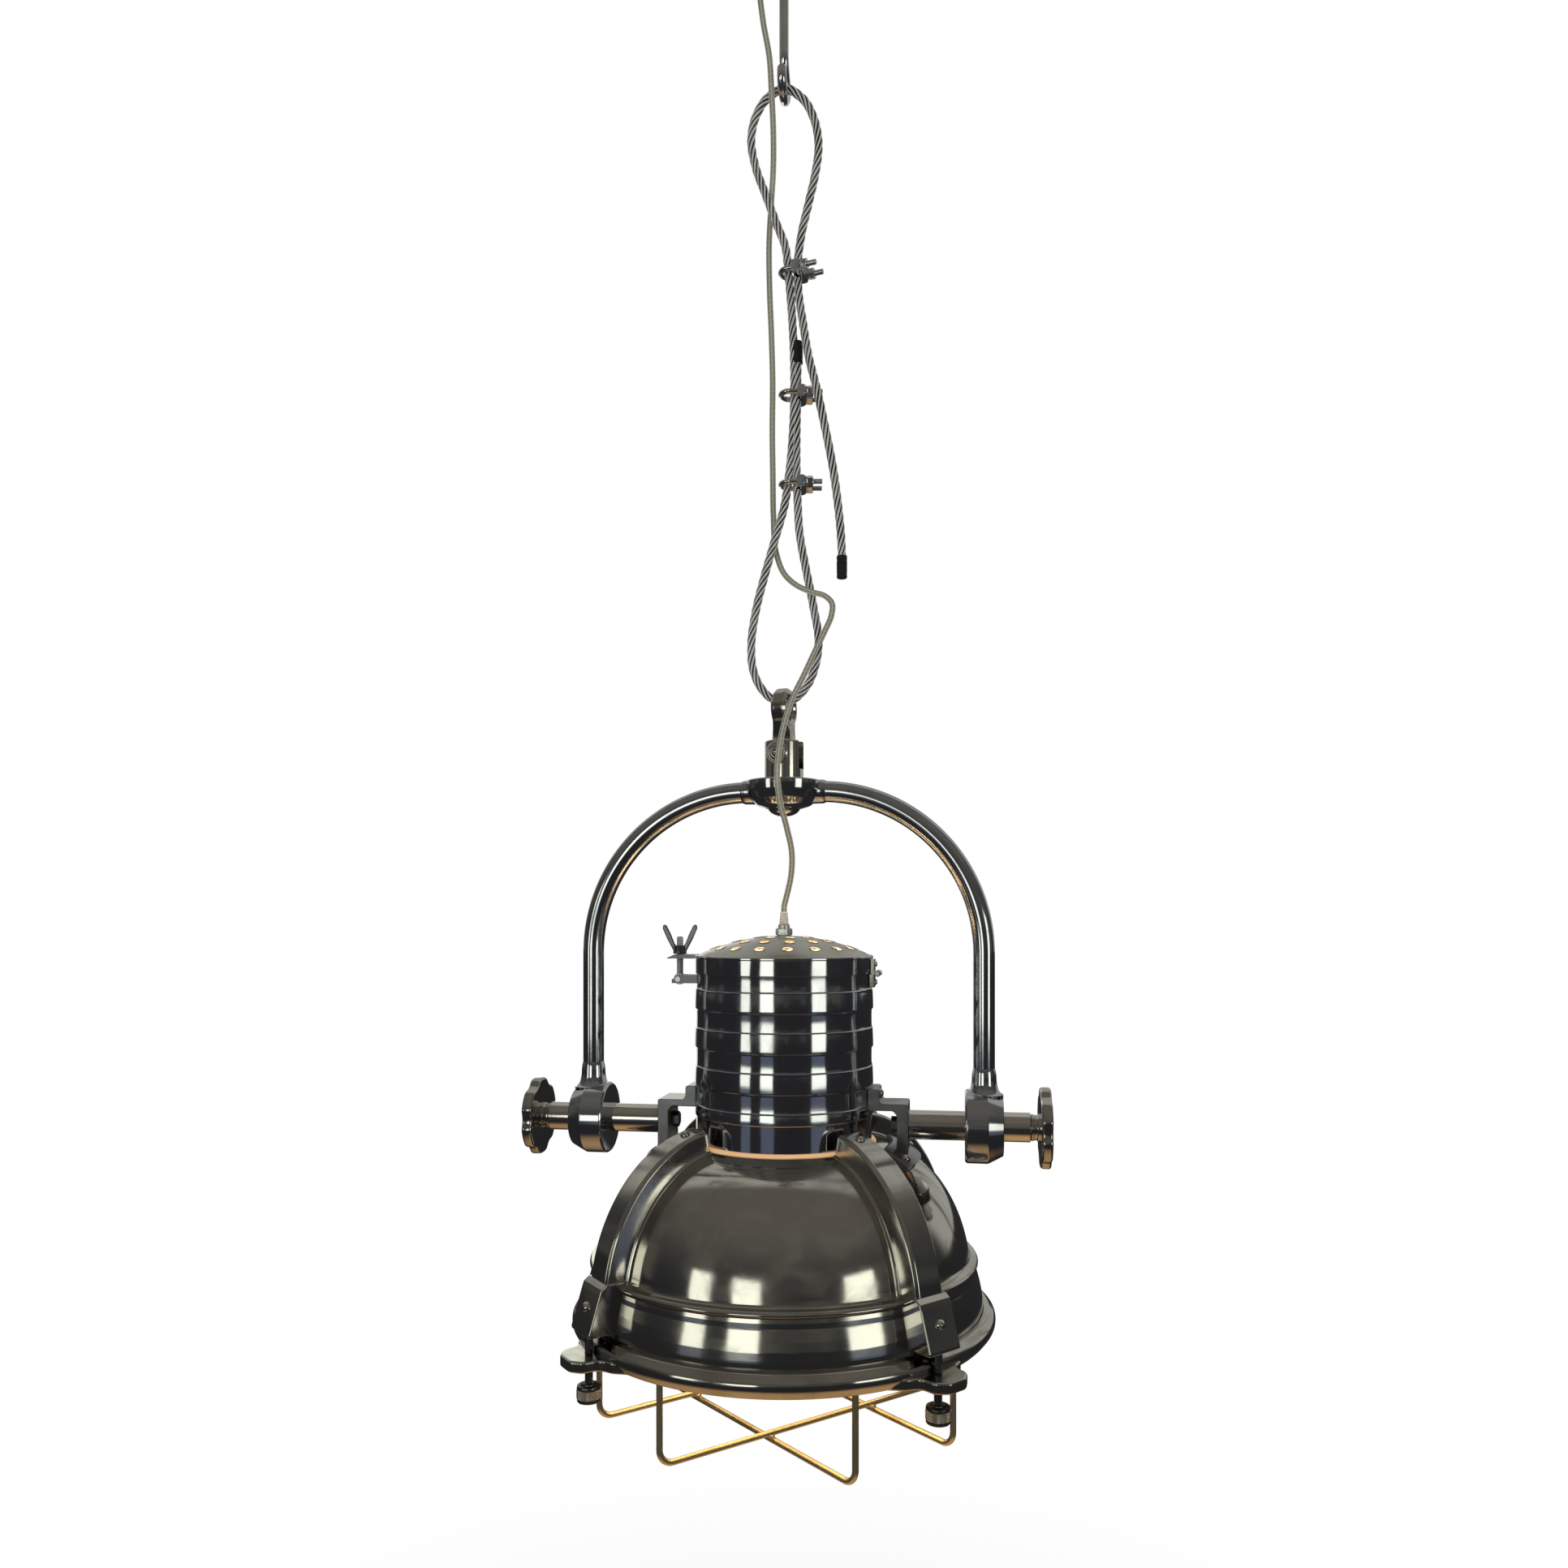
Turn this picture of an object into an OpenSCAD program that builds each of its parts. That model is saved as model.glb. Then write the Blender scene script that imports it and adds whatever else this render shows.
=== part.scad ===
// Ships pendant lamp on a looped wire rope.
// The origin is the middle of the ceiling plate's back, +Z is up and the bow spans X.
// Heights named here are measured from the tilt axis of the lamp, which hangs at -drop.

/* [Hanging] */
// Distance from the ceiling to the tilt axis of the lamp
drop = 1130; // [1115:1:1300]
// Ceiling rose diameter
rose_d = 100; // [90:1:130]
// Ceiling rose height
rose_h = 28; // [26:1:40]
// Ceiling rose wall
rose_wall = 2; // [1.5:0.5:3]
// Diameter of the plate that is screwed to the ceiling
plate_d = 78; // [70:1:84]
// Thickness of the ceiling plate
plate_t = 4; // [3:0.5:6]
// Circle on which the ceiling plate's screw holes lie
plate_pcd = 60; // [56:1:62]
// Diameter of the ceiling plate's screw holes
plate_hole_d = 5; // [4:0.5:6]
// Ceiling hook rod diameter
hook_rod_d = 9; // [8:0.5:10]
// Ceiling hook bend radius, to the middle of the rod
hook_r = 14; // [13:0.5:18]

/* [Rope and clips] */
// Wire rope diameter
rope_d = 8; // [7:0.5:8]
// Rope clip bolt rod diameter
clip_rod_d = 5; // [4:0.5:6]
// Distance between the two legs of a clip bolt
clip_pitch = 18; // [17.5:0.5:20]
// Straight length of a clip bolt's legs
clip_leg = 30; // [28:1:34]
// Clip saddle height along the rope
saddle_h = 11; // [9:1:14]
// Clip nut height
clip_nut_h = 6; // [4:0.5:7]
// Clip nut width across its flats
clip_nut_af = 9; // [8:0.5:10]
// End cap outer diameter
cap_d = 10; // [9.5:0.5:10]
// End cap length
cap_l = 21; // [19:1:24]

/* [Power cord] */
// Width of the flat twin cord
cord_w = 5.6; // [5:0.2:6]
// Thickness of the flat twin cord
cord_t = 2.8; // [2.6:0.2:3.4]

/* [Hanging eye and swivel] */
// Eye outer diameter
eye_d = 38; // [36:1:40]
// Eye hole diameter
eye_hole_d = 20; // [19:0.5:21]
// Eye thickness
eye_t = 15; // [14:0.5:15]
// Turn of the eye and stem about the vertical axis
eye_turn = -11.5; // [-14:0.5:-8]
// Height of the eye bolt
bolt_z = 347; // [345:1:348]
// Eye bolt diameter
bolt_d = 8; // [7:0.5:9]
// Eye bolt head diameter
bolt_head_d = 21.5; // [18:0.5:23]
// Tongue thickness
tongue_t = 12; // [10:0.5:14]
// Tongue width
tongue_w = 20; // [18:0.5:21]
// Stem diameter
stem_d = 37; // [35:1:40]
// Height of the stem's top
stem_top_z = 360; // [358:1:361]
// Diameter of the swivel stud under the stem
stud_d = 14; // [12:0.5:15]
// Swivel nut width across its flats
stud_nut_af = 17; // [16.5:0.5:17.5]

/* [Bow] */
// Height of the top of the bow
bow_top_z = 322; // [320:1:323]
// Bow bar diameter
bow_bar_d = 20; // [18:0.5:20]
// X of the middle of the bow's leg
bow_leg_x = 187; // [185:1:189]
// Bend radius of the bow
bow_bend_r = 152; // [148:1:156]
// Boss diameter under the stem
boss_d = 72; // [68:1:76]
// Boss height, without its cap
boss_h = 25; // [24:0.5:27]
// Boss cap diameter
boss_cap_d = 31; // [30:1:34]
// Boss cap height
boss_cap_h = 8; // [6:0.5:9]
// Hub diameter
hub_d = 68; // [64:1:72]
// Hub length
hub_l = 35; // [32:1:38]

/* [Trunnions and knobs] */
// Trunnion tube diameter
trunnion_d = 27; // [25:0.5:29]
// X of the trunnion's inner end
trunnion_x = 118; // [117:0.5:120]
// X of the trunnion's outer end
trunnion_end_x = 229; // [226:1:232]
// Diameter of the knob's stud
knob_stud_d = 10; // [8:0.5:12]
// Knob diameter over its lobes
knob_d = 74; // [68:1:80]
// Knob thickness
knob_t = 10; // [8:0.5:12]
// Number of knob lobes
knob_lobes = 6; // [5:1:8]
// Length of the spacer between trunnion and knob
spacer_l = 8; // [6:0.5:10]
// Spacer diameter
spacer_d = 25; // [22:0.5:27]

/* [Chimney and lid] */
// Chimney outer diameter, between its beads
chimney_d = 166; // [164:0.5:167]
// Chimney wall
chimney_wall = 2; // [1.5:0.5:2.5]
// Height of the chimney's top edge
chimney_top_z = 141; // [138:1:145]
// Height of the chimney's foot
chimney_foot_z = -17; // [-17:0.5:-14]
// Height of the uppermost bead's top
bead_top_z = 126; // [125:1:127]
// Distance from one bead to the next
bead_step = 35.6; // [34.5:0.1:36]
// How far a bead stands out
bead_out = 1.5; // [1:0.1:1.8]
// Bead height
bead_h = 18; // [16:0.5:19]
// Lid skirt height
lid_skirt_h = 16; // [14:0.5:18]
// Lid dome height above its skirt
lid_dome_h = 19; // [17:0.5:22]
// Lid sheet thickness
lid_t = 1.8; // [1.5:0.1:2.5]
// Lid air hole diameter
air_d = 10; // [8:0.5:11]
// Rings of air holes, each with its count and radius
air_rings = [[16, 65], [12, 44.5], [8, 24]];

/* [Bell and ribs] */
// Bell sheet thickness
bell_t = 2.5; // [2:0.25:3]
// How far the guard ring stands out round the bell's foot
bell_inset = 11.5; // [10.5:0.5:12.5]
// Rib width
rib_w = 32; // [28:1:36]
// Rib height above the bell
rib_h = 20; // [17:0.5:22]
// Rib wall
rib_wall = 4; // [3:0.5:5]
// Distance from the thumbscrew to the rib foot's outer face
rib_foot_out = 8.5; // [8:0.5:10]
// Height of the rib foot's underside
rib_foot_z = -160; // [-162:1:-158]

/* [Guard ring and guard] */
// Guard ring outer diameter
ring_d = 395; // [392:1:395]
// Radial width of the guard ring
ring_band = 41.5; // [40:0.5:44]
// Guard ring height
ring_h = 21; // [20.5:0.5:24]
// Guard ring flange thickness
ring_flange_t = 6; // [5:0.5:7]
// Ear width
ear_w = 40; // [36:1:42]
// Ear thickness
ear_t = 10; // [8:0.5:11]
// Distance from the thumbscrew to the ear's end
ear_out = 23; // [20:0.5:25]
// How far outside the guard ring's edge the thumbscrews stand
thumb_out = 4; // [3.5:0.25:4.5]
// Thumbscrew shank diameter
thumb_shank_d = 7; // [6:0.5:7]
// Thumbscrew head diameter
thumb_head_d = 21.5; // [19:0.5:24]
// Thumbscrew head height
thumb_head_h = 15; // [13:0.5:18]
// Length of shank that shows between the ear and the head
thumb_neck = 16.5; // [14:0.5:18]
// Guard rod diameter
guard_rod_d = 5.5; // [5:0.25:6]
// Distance of each guard bar from the axis
guard_off = 57; // [54:1:60]
// How far the guard's legs stand inside the guard ring's edge
guard_inset = 23.5; // [21:0.5:26]
// Guard depth below the ring, to the middle of the lower bars
guard_depth = 80; // [70:0.5:90]
// Guard bend radius
guard_bend_r = 13; // [10:0.5:20]

/* [Light] */
// How far the glass lens ends inside the guard ring's edge
lens_inset = 19.5; // [18:0.5:22]
// Glass lens thickness
lens_t = 6; // [5:0.5:7]
// Bulb glass diameter
bulb_d = 70; // [60:1:76]
// Lampholder diameter
holder_d = 44; // [40:1:50]
// Lampholder length
holder_l = 55; // [50:1:58]
// Reflector sheet thickness
reflector_t = 1.2; // [1:0.1:1.5]
// Reflector top hole diameter
reflector_hole_d = 90; // [80:1:100]

/* [Latch and hinge] */
// Distance of the latch pin from the chimney
latch_out = 18; // [17:0.5:19]
// Height of the latch pin
latch_z = 134.5; // [134:0.5:135]
// Latch pin diameter
latch_pin_d = 5; // [4:0.5:5]
// Swing bolt diameter
swing_d = 6.6; // [6:0.2:7]
// Length of the swing bolt above its pin
swing_l = 40.5; // [38:0.5:44]
// Lug and fork width
lug_w = 18; // [16:0.5:20]
// Wing nut base diameter
wing_base_d = 13; // [12:0.5:14]
// Wing nut span
wing_span = 34; // [30:1:36]
// Hinge leaf width
leaf_w = 22; // [18:1:26]
// Hinge leaf height
leaf_h = 13; // [12:0.5:14]
// Hinge pin diameter
hinge_pin_d = 3; // [2.5:0.25:3.5]

/* [Screws] */
// Casting screw head diameter
screw_head_d = 9; // [8:0.5:10]
// Casting screw head height
screw_head_h = 3.4; // [2.5:0.1:4]
// Casting screw shank diameter
screw_d = 4; // [3:0.5:5]

/* [Fits] */
// Radial gap of a running fit
run_fit = 0.05; // [0.02:0.01:0.1]
// Gap between faces that move past each other
face_gap = 0.4; // [0.3:0.05:0.6]
// Radial gap round a screw or a rope that sits in a hole
hole_gap = 0.2; // [0.1:0.05:0.3]

/* [Hidden] */

steel = "silver";
nickel = "gainsboro";
dark = "dimgray";
rib_turns = [-137, -43, 137, 43];

// Heights and places that the rope's route and the swivel share
rope_top_z = 979;
strand_x = 4;
strand_gap = 9;
eye_z = 391;
ring_top_z = -166;

// Ceiling end
hook_z = rope_top_z - rope_d / 2 - hole_gap - hook_rod_d / 2 + hook_r;
collar_h = 8;
collar_d = hook_rod_d + 10;
grip_x = -24;
grip_d = 10;
grip_flange_d = 15;
grip_l = 8;
grip_end_z = drop - rose_h - grip_l;
hook_nut_h = 6;
hook_nut_af = 17;

// Rope clips: height and turn of each
clips = [[803, -15], [688, 10], [603, 8]];
clip_bend_x = clip_pitch / 2 - clip_rod_d / 2 - rope_d / 2 - 0.3;
saddle_x = strand_gap + hole_gap;
saddle_t = 8.3;
saddle_w = clip_pitch + clip_rod_d + 3;
cap_a = [strand_x + strand_gap, 0, 717];
cap_b = [55.5, -4, 532];
cap_wall_end = 5;

// Route of the wire rope, from the upper end cap round both loops to the lower end cap
rope_route = [[13, 0, 732], [13, 0, 588], [15, 0, 556], [20.5, 0, 525], [28, 0, 487],
    [33, 0, 452], [30, 0, 431], [22.5, 0, 413], [12, 0, 401.5], [0, 0, 396.5],
    [-12, 0, 401], [-22.5, 0, 412], [-30, 0, 430], [-31.5, 0, 450], [-27, 0, 485],
    [-18, 0, 520], [-8, 0, 554], [1, 0, 586], [strand_x, 0, 606], [strand_x, 0, 806], [1.5, 0, 828],
    [-7, 0, 851], [-18, 0, 881], [-27.5, 0, 908], [-31.5, 0, 933], [-27.5, 0, 954],
    [-17, 0, 970.5], [0, 0, rope_top_z], [17, 0, 968.5], [28.5, 0, 948], [33, 0, 922],
    [30, 0, 896], [23.5, 0, 868], [16.5, 0, 838], [13, 0, 808], [14, -1, 785],
    [18.5, -4, 755], [25, -10, 718], [32.5, -15, 688], [40, -13, 653], [47, -9, 617],
    [52, -6, 580], [55, -4, 545], [55.5, -4, 532], [55.5, -4, 518]];

// Lid and cord gland
lid_r = chimney_d / 2 + 1;
lid_brow_z = chimney_top_z + lid_skirt_h;
lid_top_z = lid_brow_z + lid_dome_h;
gland_h = 22;
gland_top_z = lid_top_z + gland_h;

// Route of the power cord, from the rose to the gland on the lid
cord_route = [[grip_x, 0, grip_end_z], [grip_x, 0, 1082], [-20, -2, 1045], [-13, -6, 1005],
    [-10.5, -9, 970], [-9, -8, 935], [-10, -2, 902], [-13.5, 7, 873], [-15.5, 8, 841],
    [-15, 7, 795], [-13, 6, 749], [-12, 7, 704], [-12.5, 8, 659], [-12, 8, 616],
    [-11.5, 8.5, 578], [-8.5, 7.5, 541], [-1, 4, 521], [12, -3, 507], [28, -9, 498],
    [40, -11, 493.5], [47, -13, 486], [47, -16, 474], [41.5, -20, 459], [33, -26, 439],
    [23, -32, 415], [14, -37, 395], [7, -40, 373], [2, -42, 347], [0, -42, 320],
    [2, -38, 299], [6.5, -28, 277], [9.5, -14, 253], [7.5, -5, 233], [2, -0.7, 211],
    [0, 0, gland_top_z + 5], [0, 0, gland_top_z + face_gap]];

// Swivel
boss_step = 0.5;
slot_w = tongue_t + 2 * face_gap;
slot_drop = 14;
stem_z = bow_top_z + boss_step + face_gap;
eye_bolt_head_h = 6;
boss_floor_h = 16;
boss_bore_d = 26;
stud_end_z = bow_top_z - boss_h + 1;
stud_nut_h = 7;
cap_spigot_h = 4;

// Bow
bow_side_z = bow_top_z - bow_bar_d / 2 - bow_bend_r;
bow_end_x = 20;
bow_over = asin((bow_leg_x - bow_bend_r - bow_end_x) / bow_bend_r);
hub_x = bow_leg_x - hub_l / 2;
knob_x = trunnion_end_x + face_gap + spacer_l;
knob_stud_l = 24;

// Brackets
bracket_w = 40;
flange_top_z = 21.5;
flange_t = 6.5;
web_t = 10.5;
web_foot_z = -26;
tab_t = 8;
tab_top_z = 35;
tab_screw_z = 28.5;
foot_t = 4.5;
foot_half = 22;
foot_screw_turn = 16;
foot_screw_at = 65;
trunnion_bolt_d = 8;
trunnion_bolt_l = 30;

// Bell outline: an ellipse from the crown down to a bead, then the skirt
bell_foot_r = ring_d / 2 - bell_inset;
bell_bead_r = bell_foot_r - 5;
bell_r0 = chimney_d / 2 - 5;
bell_z0 = -141;
bell_a = bell_bead_r - 6 - bell_r0;
bell_b = 124;
crown_r = chimney_d / 2 + 1.5;
bead_z = -118;
bell_bead_z = -128;
function bell_p(t) = [bell_r0 + bell_a * cos(t), bell_z0 + bell_b * sin(t)];
function bell_n(t) = let (v = [cos(t) / bell_a, sin(t) / bell_b]) v / norm(v);
function bell_off(t, h) = bell_p(t) + h * bell_n(t);
crown_t = acos((crown_r - bell_r0) / bell_a);
bead_t = asin((bead_z - bell_z0) / bell_b);
bell_steps = [for (i = [0:18]) crown_t + (bead_t - crown_t) * i / 18];
bell_foot_z = ring_top_z - 3;
lip_r = bell_foot_r - 21;

// Guard ring, lens and guard
ring_hole_d = ring_d - 2 * ring_band;
lens_d = ring_d - 2 * lens_inset;
thumb_r = ring_d / 2 + thumb_out;
ear_r = thumb_r + ear_out;
rib_foot_r = thumb_r + rib_foot_out;
guard_leg_r = ring_d / 2 - guard_inset;
ring_foot_z = ring_top_z - ring_h;
flange_z = ring_foot_z + ring_flange_t;
gasket_t = (bell_foot_z - flange_z - lens_t) / 2;
lens_z = flange_z + gasket_t;
ear_z = ring_foot_z;
rib_turn_w = rib_w - 2 * rib_wall;
thumb_grip = 12;
rib_lean = 10.5;
rib_shoulder = bead_z - 5;
thumb_collar_h = 3.5;
thumb_top_z = rib_foot_z + thumb_grip - 2;
guard_low_z = ring_foot_z - guard_depth;
guard_lift = guard_rod_d - 0.2;
guard_leg_x = sqrt(guard_leg_r * guard_leg_r - guard_off * guard_off);

// Latch and hinge
latch_x = chimney_d / 2 + latch_out;
fork_t = 4;
fork_z = lid_brow_z - 3;
fork_end = latch_x + 11;
lug_h = 8;
lug_end = latch_x + 7;
lug_slot = swing_d + 2 * face_gap;
swing_eye_t = swing_d - 0.4;
wing_base_h = 8;
wing_top_h = 28;
wing_t = 2.6;
nut_z = fork_z + fork_t + face_gap;
gland_hex_af = 14;
gland_hex_h = 5;
knuckle_d = hinge_pin_d + 3;
leaf_t = 2;
hinge_x = lid_r + leaf_t + knuckle_d / 2 + 0.3;
leaf_screw_d = 6;

// Light
holder_z = -35;
strap_z = holder_z + holder_l;
strap_t = 2;
strap_w = 20;
lead_d = 6;

module lamp() {
    translate([0, 0, -drop]) children();
}

function unit(v) = v / norm(v);
function heading(p, i) = unit(p[min(i + 1, len(p) - 1)] - p[max(i - 1, 0)]);
function ring_at(p, t, w, h, n) =
    let (s = unit(cross(t, [0, 1, 0])), u = cross(s, t))
    [for (k = [0:n - 1])
        let (a = 360 * (k + 0.5) / n)
        p + s * w / 2 * cos(a) + u * h / 2 * sin(a)];

// A tube swept through the points p, w wide and h thick, with n sides
module sweep(p, w, h, n) {
    m = len(p);
    pts = [for (i = [0:m - 1]) each ring_at(p[i], heading(p, i), w, h, n)];
    start = [for (k = [n - 1:-1:0]) k];
    end = [for (k = [0:n - 1]) (m - 1) * n + k];
    sides = [for (i = [0:m - 2]) for (k = [0:n - 1])
        let (a = i * n + k, b = i * n + (k + 1) % n)
        each [[a, b, b + n], [a, b + n, a + n]]];
    polyhedron(points = pts, faces = concat([start, end], sides), convexity = 10);
}

module hex(af, h) {
    cylinder(d = af / cos(30), h = h, $fn = 6);
}

module dome(d, h) {
    r = (d * d / 4 + h * h) / (2 * h);
    a = asin(d / 2 / r);
    rotate_extrude($fn = 48)
        polygon(concat([[0, 0]], [for (i = [0:6]) let (t = a * (1 - i / 6))
            [r * sin(t), r * cos(t) - r + h]]));
}

// A domed screw whose head sits on z = 0, with its shank below
module screw(head_d, head_h, d, l) {
    dome(head_d, head_h);
    translate([0, 0, -l]) cylinder(d = d, h = l, $fn = 32);
}

// Ceiling fitting

module ceiling_plate() {
    color(steel) translate([0, 0, -plate_t]) difference() {
        cylinder(d = plate_d, h = plate_t, $fn = 96);
        translate([0, 0, -1])
            cylinder(d = hook_rod_d + 2 * run_fit, h = plate_t + 2, $fn = 48);
        for (a = [0, 120, 240])
            rotate([0, 0, a]) translate([plate_pcd / 2, 0, -1])
                cylinder(d = plate_hole_d, h = plate_t + 2, $fn = 32);
    }
}

module ceiling_rose() {
    r = rose_d / 2;
    color(nickel) difference() {
        rotate_extrude($fn = 128) polygon([[hook_rod_d / 2 + hole_gap, -rose_h],
            [r - 8, -rose_h], [r - 3, -rose_h + 1.5], [r - 0.8, -rose_h + 5],
            [r, -rose_h + 9], [r, 0], [r - rose_wall, 0], [r - rose_wall, -rose_h + 9],
            [r - rose_wall - 1, -rose_h + 5.5], [r - 8, -rose_h + rose_wall],
            [hook_rod_d / 2 + hole_gap, -rose_h + rose_wall]]);
        translate([grip_x, 0, -rose_h - 1])
            cylinder(d = grip_d + 2 * hole_gap, h = rose_wall + 2, $fn = 48);
    }
}

module ceiling_hook() {
    color(steel) union() {
        translate([0, 0, hook_z + hook_r - drop])
            cylinder(d = hook_rod_d, h = drop - hook_z - hook_r - 0.5, $fn = 48);
        lamp() translate([0, 0, hook_z]) rotate([90, 0, 90]) rotate([0, 0, -195])
            rotate_extrude(angle = 285, $fn = 96) translate([hook_r, 0])
                circle(d = hook_rod_d, $fn = 48);
        lamp() translate([0, -hook_r * cos(15), hook_z + hook_r * sin(15)])
            sphere(d = hook_rod_d + 0.6, $fn = 48);
        lamp() translate([0, 0, hook_z + hook_r]) sphere(d = hook_rod_d + 0.6, $fn = 48);
    }
}

module hook_nut() {
    color(steel) translate([0, 0, -plate_t - hook_nut_h]) difference() {
        hex(hook_nut_af, hook_nut_h);
        translate([0, 0, -1])
            cylinder(d = hook_rod_d + 2 * run_fit, h = hook_nut_h + 2, $fn = 48);
    }
}

module collar_hole(d) {
    translate([0, -hook_rod_d / 2, -rose_h - collar_h / 2]) rotate([90, 0, 0])
        cylinder(d = d, h = collar_d, $fn = 32);
}

module rose_collar() {
    color(nickel) difference() {
        translate([0, 0, -rose_h - collar_h]) cylinder(d = collar_d, h = collar_h, $fn = 64);
        translate([0, 0, -rose_h - collar_h - 1])
            cylinder(d = hook_rod_d + 2 * run_fit, h = collar_h + 2, $fn = 48);
        collar_hole(screw_d + 2 * run_fit);
    }
}

module rose_collar_screw() {
    color(dark) intersection() {
        collar_hole(screw_d);
        translate([0, 0, -rose_h - collar_h]) difference() {
            cylinder(d = collar_d + 2, h = collar_h, $fn = 64);
            translate([0, 0, -1])
                cylinder(d = hook_rod_d + 2 * run_fit, h = collar_h + 2, $fn = 48);
        }
    }
}

module rose_cord_grip() {
    color("ghostwhite") translate([grip_x, 0, -rose_h]) union() {
        translate([0, 0, -grip_l]) cylinder(d1 = grip_d, d2 = grip_flange_d, h = grip_l - 3, $fn = 48);
        translate([0, 0, -3]) cylinder(d = grip_flange_d, h = 3, $fn = 48);
        cylinder(d = grip_d, h = rose_wall, $fn = 48);
        translate([0, 0, rose_wall]) cylinder(d = grip_flange_d - 1, h = 3, $fn = 48);
    }
}

module terminal_block() {
    color("ivory") translate([-12, 12, -plate_t - 12]) difference() {
        cube([24, 12, 12]);
        for (x = [6, 18]) translate([x, 6, -1]) cylinder(d = 4, h = 7, $fn = 24);
    }
}

// Rope and clips

module wire_rope() {
    color(dark) lamp() sweep(rope_route, rope_d, rope_d, 10);
}

module rope_end_caps() {
    color("black") lamp() {
        translate(cap_a) difference() {
            cylinder(d = cap_d, h = cap_l, $fn = 48);
            translate([0, 0, -1])
                cylinder(d = rope_d + hole_gap, h = cap_l - cap_wall_end + 1, $fn = 48);
        }
        translate(cap_b) mirror([0, 0, 1]) difference() {
            cylinder(d = cap_d, h = cap_l, $fn = 48);
            translate([0, 0, -1])
                cylinder(d = rope_d + hole_gap, h = cap_l - cap_wall_end + 1, $fn = 48);
        }
    }
}

module at_clip(c) {
    lamp() translate([strand_x, 0, c[0]]) rotate([0, 0, c[1]]) children();
}

module clip_saddles() {
    h = saddle_w / 2;
    color(steel) for (c = clips) difference() {
        at_clip(c) difference() {
            translate([0, 0, -saddle_h / 2]) linear_extrude(saddle_h)
                polygon([[saddle_x - 1, -h], [saddle_x + saddle_t - 3, -h],
                    [saddle_x + saddle_t, -h + 4], [saddle_x + saddle_t, h - 4],
                    [saddle_x + saddle_t - 3, h], [saddle_x - 1, h]]);
            for (s = [-1, 1]) translate([0, s * clip_pitch / 2, 0]) rotate([0, 90, 0])
                cylinder(d = clip_rod_d + 2 * hole_gap, h = clip_leg + 10, $fn = 32);
        }
        lamp() translate([strand_x + strand_gap, 0, c[0] - saddle_h])
            cylinder(d = rope_d + 2 * hole_gap, h = 2 * saddle_h, $fn = 48);
    }
}

module clip_u_bolts() {
    color(nickel) for (c = clips) at_clip(c) {
        translate([clip_bend_x, 0, 0]) rotate([0, 0, 90]) rotate_extrude(angle = 180, $fn = 64)
            translate([clip_pitch / 2, 0]) circle(d = clip_rod_d, $fn = 32);
        for (s = [-1, 1]) translate([clip_bend_x, s * clip_pitch / 2, 0]) rotate([0, 90, 0])
            cylinder(d = clip_rod_d, h = clip_leg, $fn = 32);
    }
}

module clip_nuts() {
    color(nickel) for (c = clips) at_clip(c) for (s = [-1, 1])
        translate([saddle_x + saddle_t, s * clip_pitch / 2, 0]) rotate([0, 90, 0])
            difference() {
                hex(clip_nut_af, clip_nut_h);
                translate([0, 0, -1])
                    cylinder(d = clip_rod_d + 2 * run_fit, h = clip_nut_h + 2, $fn = 32);
            }
}

module power_cord() {
    color("darkgray") lamp() sweep(cord_route, cord_w, cord_t, 8);
}

// Hanging eye and swivel

module turned() {
    lamp() rotate([0, 0, eye_turn]) children();
}

module along_bolt(y) {
    translate([0, y, bolt_z]) rotate([90, 0, 0]) children();
}

module hanging_eye() {
    ri = eye_hole_d / 2;
    ro = eye_d / 2;
    h = eye_t / 2;
    color(nickel) turned() difference() {
        union() {
            translate([0, 0, eye_z]) rotate([0, 90, 0]) rotate_extrude($fn = 96)
                polygon([[ri, -2], [ri + 1, -4.5], [ri + 3.2, -h], [ro - 2.5, -h],
                    [ro, -h + 3.5], [ro, h - 3.5], [ro - 2.5, h], [ri + 3.2, h],
                    [ri + 1, 4.5], [ri, 2]]);
            translate([-tongue_w / 2, -tongue_t / 2, bolt_z])
                cube([tongue_w, tongue_t, eye_z - ro - bolt_z + 4]);
            along_bolt(tongue_t / 2) cylinder(d = tongue_w, h = tongue_t, $fn = 64);
        }
        along_bolt(tongue_t) cylinder(d = bolt_d + 2 * run_fit, h = 2 * tongue_t, $fn = 48);
    }
}

module swivel_stem() {
    r = stem_d / 2;
    color(nickel) turned() difference() {
        union() {
            translate([0, 0, stem_z]) rotate_extrude($fn = 96)
                polygon([[0, 0], [r - 1, 0], [r, 1], [r, stem_top_z - stem_z - 2],
                    [r - 2, stem_top_z - stem_z], [0, stem_top_z - stem_z]]);
            translate([0, 0, stud_end_z])
                cylinder(d = stud_d, h = stem_z - stud_end_z + 1, $fn = 64);
        }
        translate([-stem_d, -slot_w / 2, bolt_z - slot_drop]) cube([2 * stem_d, slot_w, stem_d]);
        along_bolt(stem_d) cylinder(d = bolt_d + 2 * run_fit, h = 2 * stem_d, $fn = 48);
    }
}

module eye_bolt() {
    r = stem_d / 2;
    color(nickel) turned() union() {
        along_bolt(r + eye_bolt_head_h + 2) cylinder(d = bolt_d, h = 2 * r + eye_bolt_head_h + 3, $fn = 48);
        along_bolt(-r) cylinder(d = bolt_head_d, h = 2.5, $fn = 64);
        along_bolt(-r - 2.5) dome(bolt_head_d - 4, eye_bolt_head_h - 2.5);
    }
}

module eye_bolt_nut() {
    color(nickel) turned() along_bolt(stem_d / 2 + eye_bolt_head_h) difference() {
        hex(bolt_d + 6, eye_bolt_head_h);
        translate([0, 0, -1]) cylinder(d = bolt_d + 2 * run_fit, h = eye_bolt_head_h + 2, $fn = 48);
    }
}

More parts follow.
